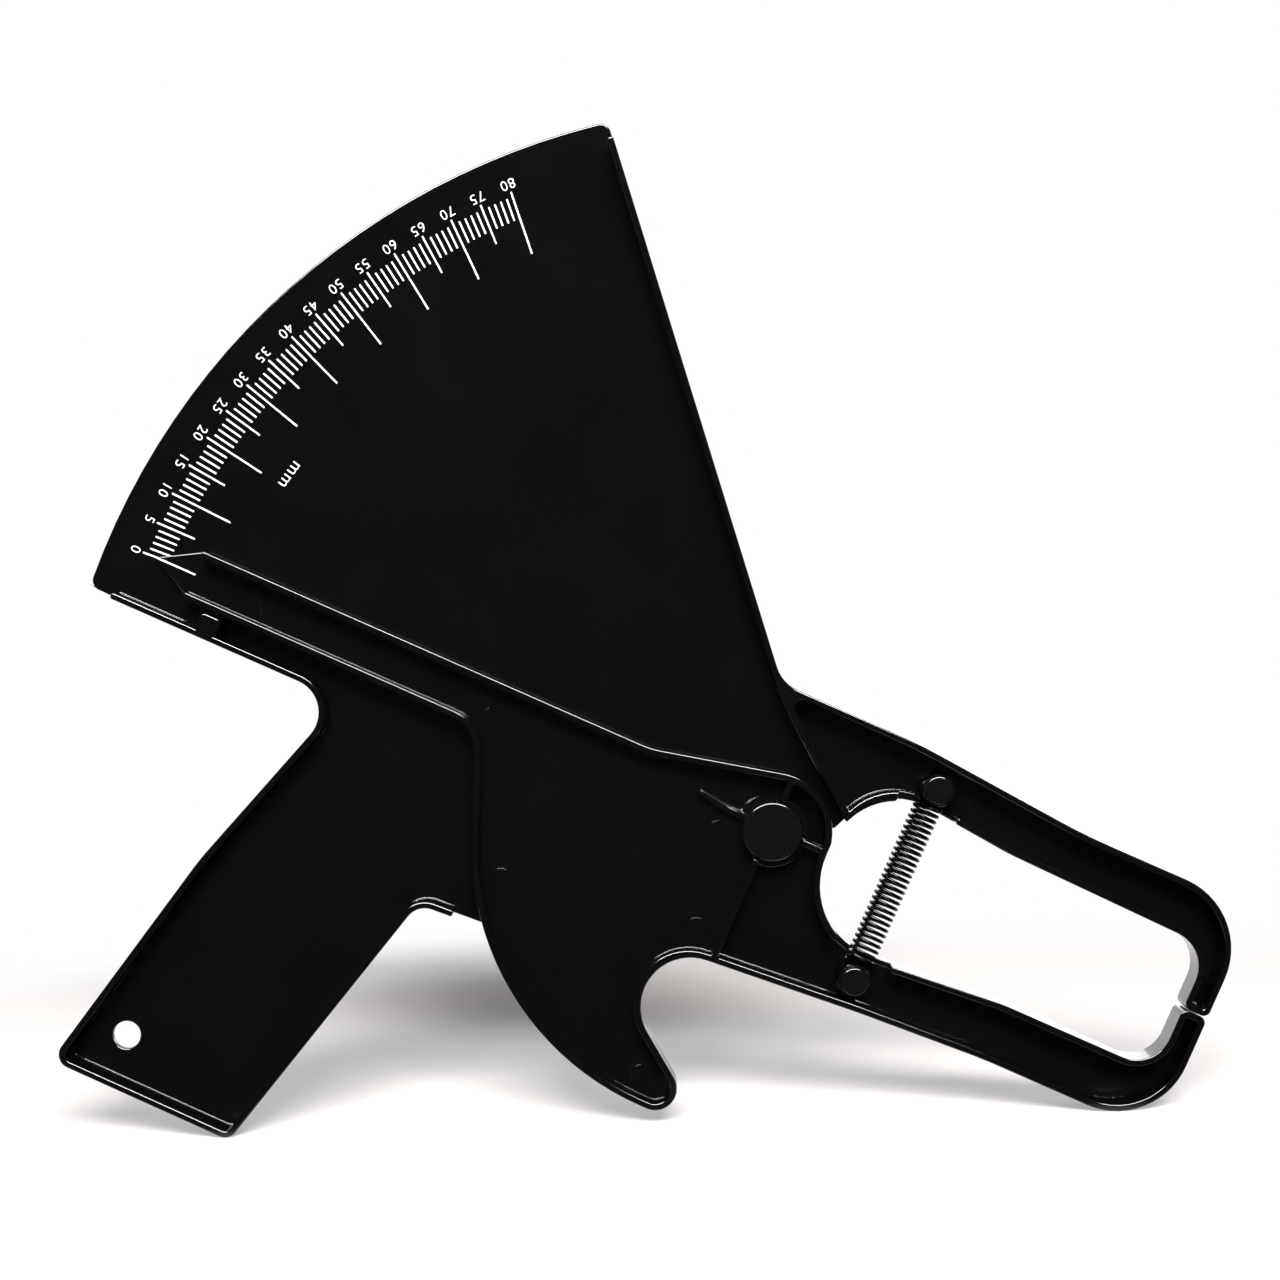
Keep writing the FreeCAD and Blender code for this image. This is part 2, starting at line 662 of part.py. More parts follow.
def build_frame():
    """The frame moulding: sector, grip and upper jaw on one plate, with rims to the full depth."""
    body = new_body("frame_moulding")
    pad_outline(body, "frame_plate", [frame_outline()], BACK, PLATE)
    pad_outline(body, "jaw_rims", [jaw_rim_outline(), jaw_recess_outline()], BACK, TOP)
    pad_outline(body, "grip_rims", [band(grip_rim_chain(), size("rim"))], BACK, TOP)
    stop_top = -size("pointer_bottom") - size("stop_gap")
    stop = box_outline(size("stop_x"), size("stop_x") + size("stop_width"),
                       -size("sector_foot") + size("rim") / 2, stop_top, size("stop_round"))
    pad_outline(body, "zero_stop", [stop], BACK, TOP)
    loop_edge = size("loop_bend_y")
    notch_top = size("spring_half") - size("peg_boss_radius") - size("recess_round") / 2
    pocket_outline(body, "spring_notch", [spring_notch(loop_edge - size("rim"), notch_top)], SILL, TOP)
    add_peg_boss(body, "peg_boss", 1)
    bore = circle_sketch(body, "pivot_bore_sketch", [("", "")], "shank_radius", PLATE)
    bore.setExpression("Constraints[0]", "sizes.shank_radius + sizes.running_fit")
    pocket(body, bore, "pivot_bore", "sizes.plate")
    seat = circle_sketch(body, "retainer_seat_sketch", [("", "")], "retainer_radius", "sizes.retainer_pocket")
    seat.setExpression("Constraints[0]", "sizes.retainer_radius + sizes.slide_gap / 2")
    pocket(body, seat, "retainer_seat", "sizes.retainer_pocket")
    hole = circle_sketch(body, "hang_hole_sketch", [("hang_hole_x", "hang_hole_y")], "hang_hole_radius", PLATE)
    pocket(body, hole, "hang_hole", "sizes.plate")
    return body


def lower_jaw_corners():
    """Corners of the lower jaw, from its back below the pivot round the tip to the inside corner."""
    inner = size("jaw_end") - size("tip")
    tip_y = size("tip_line") - size("tip_gap") / 2
    return [
        (size("low_bend_x"), size("low_bend_y"), size("jaw_bend_round")),
        (size("jaw_waist_x"), -size("jaw_half"), size("jaw_bend_round")),
        (size("jaw_end"), -size("jaw_half"), size("jaw_round")),
        (size("jaw_end"), tip_y, size("tip_round")),
        (inner, tip_y, size("tip_round")),
        (inner, size("low_loop_y"), size("loop_round")),
        (size("low_loop_bend_x"), size("low_loop_y"), size("loop_bend_round")),
        (nose_corner().x, size("low_loop_head_y"), size("low_loop_head_round")),
    ]


def nose_corner():
    """Where the round end of the lever runs into the opening between the jaws."""
    x = size("nose_radius") - size("nose_inset")
    return Vector(x, math.sqrt(size("nose_radius") ** 2 - x ** 2), 0)


def jaw_back_at(x):
    """Height of the lower jaw's back edge below the pivot."""
    slope = (size("low_bend_y") - size("low_root_y")) / size("low_bend_x")
    return size("low_root_y") + slope * x


def pointer_rise():
    """Where the pointer's upper edge meets the round end of the lever, as a tangent."""
    bend = Vector(size("pointer_bend_x"), size("pointer_top"), 0)
    angle = math.degrees(math.atan2(bend.y, bend.x))
    lean = math.degrees(math.acos(size("nose_radius") / bend.Length))
    return polar(size("nose_radius"), angle - lean)


def trigger_corners():
    """Corners from the pointer's lower edge round the trigger to the bottom of the finger hook."""
    hook = line_at(-size("hook_angle"), -size("hook_offset"))
    bottom = line_at(0.0, -size("trigger_bottom"))
    back = Side(Vector(0, jaw_back_at(0), 0), Vector(1, jaw_back_at(1), 0))
    tip = meet(hook, bottom, Vector(0, 0, 0))
    hollow = meet(hook, back, Vector(0, 0, 0))
    return [
        (size("trigger_root_x"), -size("pointer_bottom"), size("trigger_root_round")),
        (size("trigger_belly_x"), -size("trigger_bottom"), size("trigger_belly_round")),
        (tip.x, tip.y, size("trigger_tip_round")),
        (hollow.x, hollow.y, size("hook_round")),
    ]


def lever_outline():
    """The whole lever seen from the front, without the flat arrow."""
    nose = nose_corner()
    rise = pointer_rise()
    return (
        [(size("pointer_end"), -size("pointer_bottom"), 0.0)]
        + trigger_corners()
        + lower_jaw_corners()
        + [
            (nose.x, nose.y, size("nose_round"), size("nose_radius")),
            (rise.x, rise.y, 0.0),
            (size("pointer_bend_x"), size("pointer_top"), size("pointer_bend_round")),
            (size("pointer_end"), size("pointer_top"), 0.0),
        ]
    )


def low_side_outline():
    """The lever right of the step, where it reaches down to the back. It leaves room for the frame's hub."""
    step = -size("rib")
    around = size("hub_radius") + size("slide_gap")
    nose = nose_corner()
    return (
        [(step, jaw_back_at(step), 0.0)]
        + lower_jaw_corners()
        + [
            (nose.x, nose.y, size("nose_round"), size("nose_radius")),
            (step, math.sqrt(size("nose_radius") ** 2 - step ** 2), 0.0),
            (step, math.sqrt(around ** 2 - step ** 2), 0.0, -around),
            (step, -math.sqrt(around ** 2 - step ** 2), 0.0),
        ]
    )


def nose_lap_outline():
    """The edge of the nose that is cut away at the back, from the frame plate's neck to beyond the step."""
    inner = nose_back_radius()
    outer = size("nose_radius") + size("slide_gap")
    neck = plate_neck()
    first = math.degrees(math.atan2(neck.y, neck.x) - size("slide_gap") / inner)
    last = 90.0 + math.degrees(math.asin((size("rib") + size("slide_gap")) / inner))
    start, start_out = polar(inner, first), polar(outer, first)
    end_out, end = polar(outer, last), polar(inner, last)
    return [
        (start.x, start.y, 0.0),
        (start_out.x, start_out.y, 0.0, outer),
        (end_out.x, end_out.y, 0.0),
        (end.x, end.y, 0.0, -inner),
    ]


def high_side_outline():
    """The pointer and the trigger, which lie over the frame plate."""
    rise = pointer_rise()
    nose_top = size("nose_radius")
    return (
        [(size("pointer_end"), -size("pointer_bottom"), 0.0)]
        + trigger_corners()
        + [
            (0.0, jaw_back_at(0.0), 0.0),
            (0.0, nose_top, 0.0, nose_top),
            (rise.x, rise.y, 0.0),
            (size("pointer_bend_x"), size("pointer_top"), size("pointer_bend_round")),
            (size("pointer_end"), size("pointer_top"), 0.0),
        ]
    )


def high_recess_outline():
    """The recess of the pointer and the trigger. It is open at the arrow and ends at the upright rib."""
    rim = size("rim")
    inner = inset(lever_outline(), rim)
    rise = inner[-3]
    bend = inner[-2]
    beyond = size("pointer_end") - rim
    left_rib = -size("rib")
    back = Side(Vector(0, jaw_back_at(0), 0), Vector(1, jaw_back_at(1), 0)).shifted(rim)
    low = meet(back, Side(Vector(left_rib, 0, 0), Vector(left_rib, 1, 0)), Vector(0, 0, 0))
    reach = size("nose_radius") - rim
    return (
        [(beyond, inner[0][1], 0.0)]
        + inner[1:5]
        + [
            (left_rib, low.y, size("recess_round")),
            (left_rib, math.sqrt(reach ** 2 - left_rib ** 2), size("recess_round"), reach),
            (rise[0], rise[1], 0.0),
            (bend[0], bend[1], bend[2]),
            (beyond, bend[1], 0.0),
        ]
    )


def low_recess_outline():
    """The recess of the lower jaw, from the upright rib to the tip."""
    rim = size("rim")
    inner = inset(lever_outline(), rim)
    back = Side(Vector(0, jaw_back_at(0), 0), Vector(1, jaw_back_at(1), 0)).shifted(rim)
    low = meet(back, Side(Vector(0, 0, 0), Vector(0, 1, 0)), Vector(0, 0, 0))
    reach = size("nose_radius") - rim
    nose = inner[13]
    return (
        [(0.0, low.y, size("recess_round"))]
        + inner[5:13]
        + [
            (nose[0], nose[1], nose[2], reach),
            (0.0, reach, size("recess_round")),
        ]
    )


def build_lever():
    """The lever moulding: pointer and trigger above the frame plate, lower jaw beside it."""
    body = new_body("lever_moulding")
    pad_outline(body, "low_side", [low_side_outline()], BACK, TOP)
    pocket_outline(body, "nose_lap", [nose_lap_outline()], BACK, LEVER_BACK)
    pad_outline(body, "high_side", [high_side_outline()], LEVER_BACK, TOP)
    pocket_outline(body, "low_recess", [low_recess_outline()], PLATE, TOP)
    pocket_outline(body, "high_recess", [high_recess_outline()], LEVER_FLOOR, TOP)
    arrow = [
        (size("arrow_tip_x"), size("arrow_tip_y"), size("arrow_round")),
        (size("pointer_end"), -size("pointer_bottom"), 0.0),
        (size("pointer_end") + size("rim"), -size("pointer_bottom"), 0.0),
        (size("pointer_end") + size("rim"), size("pointer_top"), 0.0),
        (size("pointer_end"), size("pointer_top"), 0.0),
    ]
    pad_outline(body, "arrow", [arrow], LEVER_BACK, LEVER_FLOOR)
    boss = circle_sketch(body, "boss_sketch", [("", "")], "boss_radius", LEVER_BACK)
    pad(body, boss, "boss", "sizes.lever_web + sizes.boss_lift")
    boss_wall = outline_sketch(body, "boss_wall_sketch", [boss_wall_outline()], BACK)
    pad(body, boss_wall, "boss_wall", BOSS_TOP)
    half = size("rib") / 2
    reach = size("nose_radius") - size("rim") / 2
    back = jaw_back_at(0.0) + size("rim") / 2
    upright = box_outline(-size("rib"), 0.0, back, reach)
    low = size("rib_raise") - half
    high = size("rib_raise") + half
    bend = size("rib_bend_x")
    across_left = [
        (-size("rib_reach"), low + size("rib_rise"), size("recess_round")),
        (bend, low, size("rib_bend_round")),
        (-half, low, 0.0),
        (-half, high, 0.0),
        (bend, high, size("rib_bend_round")),
        (-size("rib_reach"), high + size("rib_rise"), size("recess_round")),
    ]
    across_right = box_outline(size("hub_radius") + size("slide_gap"), reach, low, high)
    pad_outline(body, "upright_rib", [upright], LEVER_BACK, RIB_TOP)
    pad_outline(body, "left_rib", [across_left], LEVER_BACK, RIB_TOP)
    pad_outline(body, "right_rib", [across_right], BACK, RIB_TOP)
    room = circle_sketch(body, "head_room_sketch", [("", "")], "head_radius", TOP)
    room.setExpression("Constraints[0]", "sizes.head_radius + sizes.slide_gap")
    pocket(body, room, "head_room", "sizes.depth - (%s)" % BOSS_TOP)
    bore = circle_sketch(body, "pivot_bore_sketch", [("", "")], "shank_radius", TOP)
    bore.setExpression("Constraints[0]", "sizes.shank_radius + sizes.running_fit")
    pocket(body, bore, "pivot_bore", "sizes.depth")
    notch_low = -size("spring_half") + size("peg_boss_radius") + size("recess_round") / 2
    notch = spring_notch(notch_low, size("low_loop_y"))
    pocket_outline(body, "spring_notch", [notch], SILL, TOP)
    add_peg_boss(body, "peg_boss", -1)
    add_ejector_marks(body, "high_marks", range(1, 8), LEVER_FLOOR)
    add_ejector_marks(body, "low_marks", range(8, 10), PLATE)
    return body


def boss_wall_outline():
    """The wall that ties the boss to the low side of the lever, round the frame's hub."""
    inner = size("hub_radius") + size("slide_gap")
    outer = size("boss_radius")
    step = -size("rib")
    return [
        (step, -math.sqrt(outer ** 2 - step ** 2), 0.0, outer),
        (step, math.sqrt(outer ** 2 - step ** 2), 0.0),
        (step, math.sqrt(inner ** 2 - step ** 2), 0.0, -inner),
        (step, -math.sqrt(inner ** 2 - step ** 2), 0.0),
    ]


# ---------------------------------------------------------------------------------------------------------
# Turned and coiled pieces, from Part primitives bound to the sheet
# ---------------------------------------------------------------------------------------------------------
def cylinder(name, radius, bottom, top, x="0", y="0"):
    """An upright cylinder between two heights. All its sizes are expressions."""
    shape = doc.addObject("Part::Cylinder", name)
    shape.setExpression("Radius", radius)
    shape.setExpression("Height", "%s - (%s)" % (top, bottom))
    shape.setExpression(".Placement.Base.x", x)
    shape.setExpression(".Placement.Base.y", y)
    shape.setExpression(".Placement.Base.z", bottom)
    return shape


def cone(name, radius_low, radius_high, bottom, top, x="0", y="0"):
    shape = doc.addObject("Part::Cone", name)
    shape.setExpression("Radius1", radius_low)
    shape.setExpression("Radius2", radius_high)
    shape.setExpression("Height", "%s - (%s)" % (top, bottom))
    shape.setExpression(".Placement.Base.x", x)
    shape.setExpression(".Placement.Base.y", y)
    shape.setExpression(".Placement.Base.z", bottom)
    return shape


def fused(name, shapes):
    result = doc.addObject("Part::MultiFuse", name)
    result.Shapes = shapes
    result.Refine = True
    result.Label = name
    return result


def ring(name, outer, inner, bottom, top):
    result = doc.addObject("Part::Cut", name)
    result.Base = cylinder(name + "_disc", outer, bottom, top)
    result.Tool = cylinder(name + "_hole", inner, bottom, top)
    result.Label = name
    return result


def build_pivot_pin():
    """The headed pin: a shank through lever and frame, and a flat head over the lever's boss."""
    head_bottom = "%s + sizes.head_float" % BOSS_TOP
    head_top = "sizes.depth - sizes.head_sink"
    shoulder = head_top + " - sizes.head_chamfer"
    end = "sizes.retainer_pocket - sizes.retainer_thickness"
    return fused("pivot_pin", [
        cylinder("pivot_shank", "sizes.shank_radius", end, head_bottom),
        cylinder("pivot_head", "sizes.head_radius", head_bottom, shoulder),
        cone("pivot_head_edge", "sizes.head_radius", "sizes.head_radius - sizes.head_chamfer",
             shoulder, head_top),
    ])


def build_washer():
    return ring("pivot_washer", "sizes.washer_radius", "sizes.shank_radius + sizes.running_fit",
                PLATE, "sizes.plate + sizes.washer_thickness")


def build_retainer():
    """The push-on ring in the counterbore at the back, tight on the shank."""
    return ring("pivot_retainer", "sizes.retainer_radius", "sizes.shank_radius",
                "sizes.retainer_pocket - sizes.retainer_thickness", "sizes.retainer_pocket")


def build_spring_pin(name, y):
    """A headed peg, pressed into its boss. The eye of the spring turns on it."""
    head_top = "sizes.peg_head_bottom + sizes.peg_head_thickness"
    shoulder = head_top + " - sizes.peg_head_chamfer"
    x = "sizes.spring_x"
    return fused(name, [
        cylinder(name + "_shank", "sizes.peg_radius", BACK, "sizes.peg_head_bottom", x, y),
        cylinder(name + "_head", "sizes.peg_head_radius", "sizes.peg_head_bottom", shoulder, x, y),
        cone(name + "_edge", "sizes.peg_head_radius", "sizes.peg_head_radius - sizes.peg_head_chamfer",
             shoulder, head_top, x, y),
    ])


def build_spring():
    """The coils as one ridged rod along the spring axis, one ridge for each turn."""
    body = new_body("return_spring")
    sketch = body.newObject("Sketcher::SketchObject", "coil_profile")
    sketch.AttachmentSupport = (origin_plane(body, "XY_Plane"), [""])
    sketch.MapMode = "FlatFace"
    sketch.setExpression(".AttachmentOffset.Base.x", "sizes.spring_x - sizes.coil_shift")
    sketch.setExpression(".AttachmentOffset.Base.z", "sizes.spring_depth")
    outer = size("spring_radius")
    wire = size("wire_radius")
    low = -size("coil_end")
    count = int(round(size("coil_count")))
    pitch = 2 * size("coil_end") / count
    valley = outer - wire
    start = Vector(0, low, 0)
    point = Vector(valley, low, 0)
    profile = [Part.LineSegment(start, point)]
    for i in range(count):
        crest = Vector(outer, low + (i + 0.5) * pitch, 0)
        following = Vector(valley, low + (i + 1) * pitch, 0)
        profile.append(Part.Arc(point, crest, following))
        point = following
    end = Vector(0, point.y, 0)
    profile.append(Part.LineSegment(point, end))
    profile.append(Part.LineSegment(end, start))
    sketch.addGeometry(profile, False)
    turned = body.newObject("PartDesign::Revolution", "coils")
    turned.Profile = sketch
    turned.ReferenceAxis = (sketch, ["V_Axis"])
    turned.Angle = 360.0
    sketch.Visibility = False
    return body


def build_hook(name, side, pull):
    """The eye of the spring round its pin, and the straight wire from the eye to the coils."""
    sign = "" if side > 0 else "-"
    middle = "(sizes.spring_half - %s)" % pull
    eye = doc.addObject("Part::Torus", name + "_eye")
    eye.setExpression("Radius1", "sizes.eye_radius")
    eye.setExpression("Radius2", "sizes.wire_radius")
    eye.setExpression(".Placement.Base.x", "sizes.spring_x")
    eye.setExpression(".Placement.Base.y", sign + middle)
    eye.setExpression(".Placement.Base.z", "sizes.spring_depth")
    stem = doc.addObject("Part::Cylinder", name + "_stem")
    stem.setExpression("Radius", "sizes.wire_radius")
    stem.setExpression("Height", middle + " - sizes.eye_radius + sizes.wire_radius - sizes.coil_end")
    stem.Placement.Rotation = FreeCAD.Rotation(Vector(1, 0, 0), -90.0 * side)
    stem.setExpression(".Placement.Base.x", "sizes.spring_x")
    stem.setExpression(".Placement.Base.y", sign + "sizes.coil_end")
    stem.setExpression(".Placement.Base.z", "sizes.spring_depth")
    return fused(name, [eye, stem])


# ---------------------------------------------------------------------------------------------------------
# Print
# ---------------------------------------------------------------------------------------------------------
def mark_box(name, outer_end, heading, length, bottom):
    """One printed line, from its outer end towards the pivot."""
    bar = doc.addObject("Part::Box", name)
    bar.setExpression("Length", length)
    bar.setExpression("Width", "sizes.mark_width")
    bar.setExpression("Height", "sizes.mark_thickness")
    angle = math.degrees(math.atan2(heading.y, heading.x))
    corner = outer_end - left_of(heading) * (size("mark_width") / 2)
    bar.Placement = FreeCAD.Placement(Vector(corner.x, corner.y, bottom), FreeCAD.Rotation(angle, 0, 0))
    return bar


def build_scale_marks():
    """The printed dial: one line for each millimetre of jaw opening, longer at every 5 and 10."""
    count = int(round(size("divisions")))
    middle = 180.0 - count * size("division_angle") / 2
    focus = polar(size("mark_focus"), middle)
    bars = []
    for i in range(count + 1):
        radius = size("mark_outer")
        length = "sizes.mark_short"
        if i % 5 == 0:
            radius = size("mark_outer_long")
            length = "sizes.mark_ten" if i % 10 == 0 else "sizes.mark_five"
        end = polar(radius, 180.0 - i * size("division_angle"))
        bars.append(mark_box("mark_%02d" % i, end, unit(focus - end), length, size("plate")))
    marks = doc.addObject("Part::Compound", "scale_marks")
    marks.Links = bars
    marks.Label = "scale_marks"
    return marks


def build_index_line():
    """The white line on the arrow, along its axis."""
    line = doc.addObject("Part::Box", "index_line")
    line.setExpression("Length", "sizes.index_length")
    line.setExpression("Width", "sizes.mark_width")
    line.setExpression("Height", "sizes.mark_thickness")
    line.Label = "index_line"
    return line


# ---------------------------------------------------------------------------------------------------------
# Assembly
# ---------------------------------------------------------------------------------------------------------
frame = build_frame()
lever = build_lever()
upper_peg = "sizes.spring_half"
lower_peg = "-sizes.spring_half"
pieces = [
    frame,
    lever,
    build_pivot_pin(),
    build_washer(),
    build_retainer(),
    build_spring_pin("spring_pin_upper", upper_peg),
    build_spring_pin("spring_pin_lower", lower_peg),
    build_spring(),
    build_hook("spring_hook_upper", 1, "sizes.eye_pull"),
    build_hook("spring_hook_lower", -1, "0"),
    build_scale_marks(),
]
index_line = build_index_line()
pieces.append(index_line)
doc.recompute()


def standing_angle():
    """Turn that stands the drawing on the grip's inner corner and the lower jaw's outer corner."""
    grip = sides_of(grip_corners())
    toe = rounding_centre(grip[2], grip[3], size("grip_toe_round"))
    jaw = Vector(size("jaw_end") - size("jaw_round"), -size("jaw_half") + size("jaw_round"), 0)
    span = jaw - toe
    slope = math.atan2(span.y, span.x)
    tuck = math.asin((size("jaw_round") - size("grip_toe_round")) / span.Length)
    return -math.degrees(slope - tuck)


def rounding_centre(before, after, radius):
    offset = math.copysign(radius, turn(before, after, after.start))
    return meet(before.shifted(offset), after.shifted(offset), after.start)


def standing_placement():
    """Stand the drawing up, front to -Y, with the middle of the base at the origin."""
    turned = FreeCAD.Rotation(Vector(1, 0, 0), 90) * FreeCAD.Rotation(Vector(0, 0, 1), standing_angle())
    upright = FreeCAD.Placement(Vector(0, 0, 0), turned)
    box = FreeCAD.BoundBox()
    for piece in (frame, lever):
        box.add(piece.Shape.transformGeometry(upright.toMatrix()).optimalBoundingBox(False, False))
    shift = Vector(-box.Center.x, -box.Center.y, -box.ZMin)
    return FreeCAD.Placement(shift, turned)


stand = standing_placement()
for piece in pieces:
    piece.Placement = stand
lift = Vector(size("arrow_tip_x") + size("index_inset"), size("arrow_tip_y") - size("mark_width") / 2,
              size("plate") + size("layer_gap") + size("lever_web"))
index_line.Placement = stand.multiply(FreeCAD.Placement(lift, FreeCAD.Rotation()))
doc.recompute()

# ---------------------------------------------------------------------------------------------------------
# Checks and export
# ---------------------------------------------------------------------------------------------------------
for item in doc.Objects:
    if "Invalid" in item.State or "Error" in item.State:
        raise RuntimeError("%s failed: %s" % (item.Name, item.State))
for before, feature in removals:
    if not feature.Shape.Volume < before.Shape.Volume - LEAST_REMOVED:
        raise RuntimeError("%s removes nothing" % feature.Name)
os.makedirs("parts", exist_ok=True)
for piece in pieces:
    shape = piece.Shape
    if shape.isNull() or not shape.isValid():
        raise RuntimeError("%s has no valid shape" % piece.Label)
    box = shape.optimalBoundingBox(False, False)
    print("%-18s solids %2d  volume %9.1f  box %s" % (piece.Label, len(shape.Solids), shape.Volume, box))
    shape.exportStep("parts/%s.step" % piece.Label)

for name, point in (
    ("pivot", Vector(0, 0, 0)),
    ("upper peg", Vector(size("spring_x"), size("spring_half"), size("spring_depth"))),
    ("lower peg", Vector(size("spring_x"), -size("spring_half"), size("spring_depth"))),
    ("hang hole", Vector(size("hang_hole_x"), size("hang_hole_y"), size("plate") / 2)),
):
    print(name, stand.multVec(point))
print("standing angle", standing_angle())
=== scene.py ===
# %% [markdown]
# # A skinfold caliper, dressed for its picture
#
# The solids of this caliper come from CAD and stay where CAD put them. This lesson gives them what CAD
# leaves out: soft moulded edges, a coiled spring, a printed dial, real finishes, a studio and a camera.
#
# All lengths are in metres, because Blender works in metres, so a helper called `mm` keeps the numbers
# readable.

# %% Load the frame
import math

import bmesh
import bpy
from mathutils import Matrix, Vector


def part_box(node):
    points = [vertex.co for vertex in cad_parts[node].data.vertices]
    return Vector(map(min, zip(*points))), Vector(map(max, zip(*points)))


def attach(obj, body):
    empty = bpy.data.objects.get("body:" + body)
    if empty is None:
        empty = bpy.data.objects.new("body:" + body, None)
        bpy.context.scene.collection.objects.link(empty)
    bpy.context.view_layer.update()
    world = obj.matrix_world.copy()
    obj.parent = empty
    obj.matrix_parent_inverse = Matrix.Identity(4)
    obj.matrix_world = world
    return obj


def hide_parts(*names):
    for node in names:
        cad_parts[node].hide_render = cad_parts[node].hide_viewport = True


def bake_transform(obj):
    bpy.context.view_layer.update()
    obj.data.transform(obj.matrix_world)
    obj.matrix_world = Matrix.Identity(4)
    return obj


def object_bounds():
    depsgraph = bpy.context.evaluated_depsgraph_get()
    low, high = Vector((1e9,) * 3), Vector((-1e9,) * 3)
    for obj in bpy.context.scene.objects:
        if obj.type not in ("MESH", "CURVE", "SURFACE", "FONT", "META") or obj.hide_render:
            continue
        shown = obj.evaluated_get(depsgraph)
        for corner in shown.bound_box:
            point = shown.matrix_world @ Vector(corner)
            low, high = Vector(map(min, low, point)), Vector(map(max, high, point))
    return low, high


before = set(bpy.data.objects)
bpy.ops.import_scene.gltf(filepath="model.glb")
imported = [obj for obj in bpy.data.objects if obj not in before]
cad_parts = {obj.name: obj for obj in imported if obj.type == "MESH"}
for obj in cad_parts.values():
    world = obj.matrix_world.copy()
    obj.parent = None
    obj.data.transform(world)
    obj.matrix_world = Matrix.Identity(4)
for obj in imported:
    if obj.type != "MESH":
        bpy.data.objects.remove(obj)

scene = bpy.context.scene
cad_low, cad_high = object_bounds()
print("CAD box in mm:", [round(1000 * side, 1) for side in cad_high - cad_low])


# %% Millimetres
def mm(value):
    """Millimetres as metres."""
    return value / 1000.0


# %% [markdown]
# ## The drawing frame
#
# The caliper stands tilted, but it is easier to think of it as it was drawn: the pivot is the origin, the
# zero line of the dial runs to the left, and depth is counted from the flat back. The pivot pin and the two
# spring pins are round, so the middle of each one's box is its axis. The line from the lower spring pin to
# the upper one is the drawing's upward direction, and that gives the tilt without a typed-in angle. Places
# on the drawing are counted in millimetres.

# %% Find the pivot and the tilt
def middle_of(node):
    """The middle of a CAD node's box."""
    low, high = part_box(node)
    return (low + high) / 2


pivot = middle_of("pivot_pin")
upper_pin = middle_of("spring_pin_upper")
lower_pin = middle_of("spring_pin_lower")
back_y = cad_high.y
drawing_origin = Vector((pivot.x, back_y, pivot.z))
upward = (upper_pin - lower_pin).normalized()
rightward = Vector((upward.z, 0, -upward.x))
frontward = Vector((0, -1, 0))
tilt = math.degrees(math.atan2(rightward.z, rightward.x))
print("tilt of the drawing: %.2f degrees" % tilt)


# %% From the drawing to the standing caliper
def standing(x, y, depth, turn=0.0):
    """The matrix that places a flat shape, made in the XY plane, on the drawing at a depth from the back."""
    axes = Matrix((rightward, upward, frontward)).transposed().to_4x4()
    place = drawing_origin + rightward * mm(x) + upward * mm(y) + frontward * mm(depth)
    return Matrix.Translation(place) @ axes @ Matrix.Rotation(math.radians(turn), 4, "Z")


# %% [markdown]
# ## Small helpers for materials
#
# Colours are written as sRGB hex values, as a colour picker shows them. Blender's shaders want linear
# light, so one function converts them. Another one adds a node, sets its inputs and makes its links, which
# keeps each material short enough to read.

# %% Colours
def hex_color(text):
    """An sRGB hex value as linear red, green, blue and alpha."""
    channels = [int(text[i:i + 2], 16) / 255 for i in (1, 3, 5)]
    linear = [c / 12.92 if c <= 0.04045 else ((c + 0.055) / 1.055) ** 2.4 for c in channels]
    return (*linear, 1.0)


# %% Nodes
def add_node(tree, kind, links=(), **settings):
    """A node with its settings. Input names are the keys of `inputs`, and links are (input, socket)."""
    node = tree.nodes.new(kind)
    inputs = settings.pop("inputs", {})
    for key, value in settings.items():
        setattr(node, key, value)
    for key, value in inputs.items():
        node.inputs[key].default_value = value
    for key, socket in links:
        tree.links.new(socket, node.inputs[key])
    return node


def new_material(name):
    """An empty material with its output node."""
    material = bpy.data.materials.new(name)
    material.use_nodes = True
    tree = material.node_tree
    tree.nodes.clear()
    output = add_node(tree, "ShaderNodeOutputMaterial")
    return material, tree, output


# %% [markdown]
# ## Glossy ABS
#
# Both mouldings are black ABS from a polished mould. ABS has an index of refraction of about 1.54. Its
# gloss is a little soft, and it isn't quite even: the skin is wavy over a few millimetres, where the
# plastic shrank, and handling leaves faint rub marks. The waves are a very weak bump, and the rub marks are
# changes in roughness. The carbon in black plastic leaves almost no colour, so the base is a dark grey that
# is nearly neutral.
#
# The pins are black acetal. Its index is a little lower, which doesn't show on small black parts, so the
# same function makes it with the same index and finer waves.

# %% Glossy ABS material
ABS_IOR = 1.54
RUB_LOW = 0.35
RUB_HIGH = 0.7
RUB_LIGHTER = 1.25


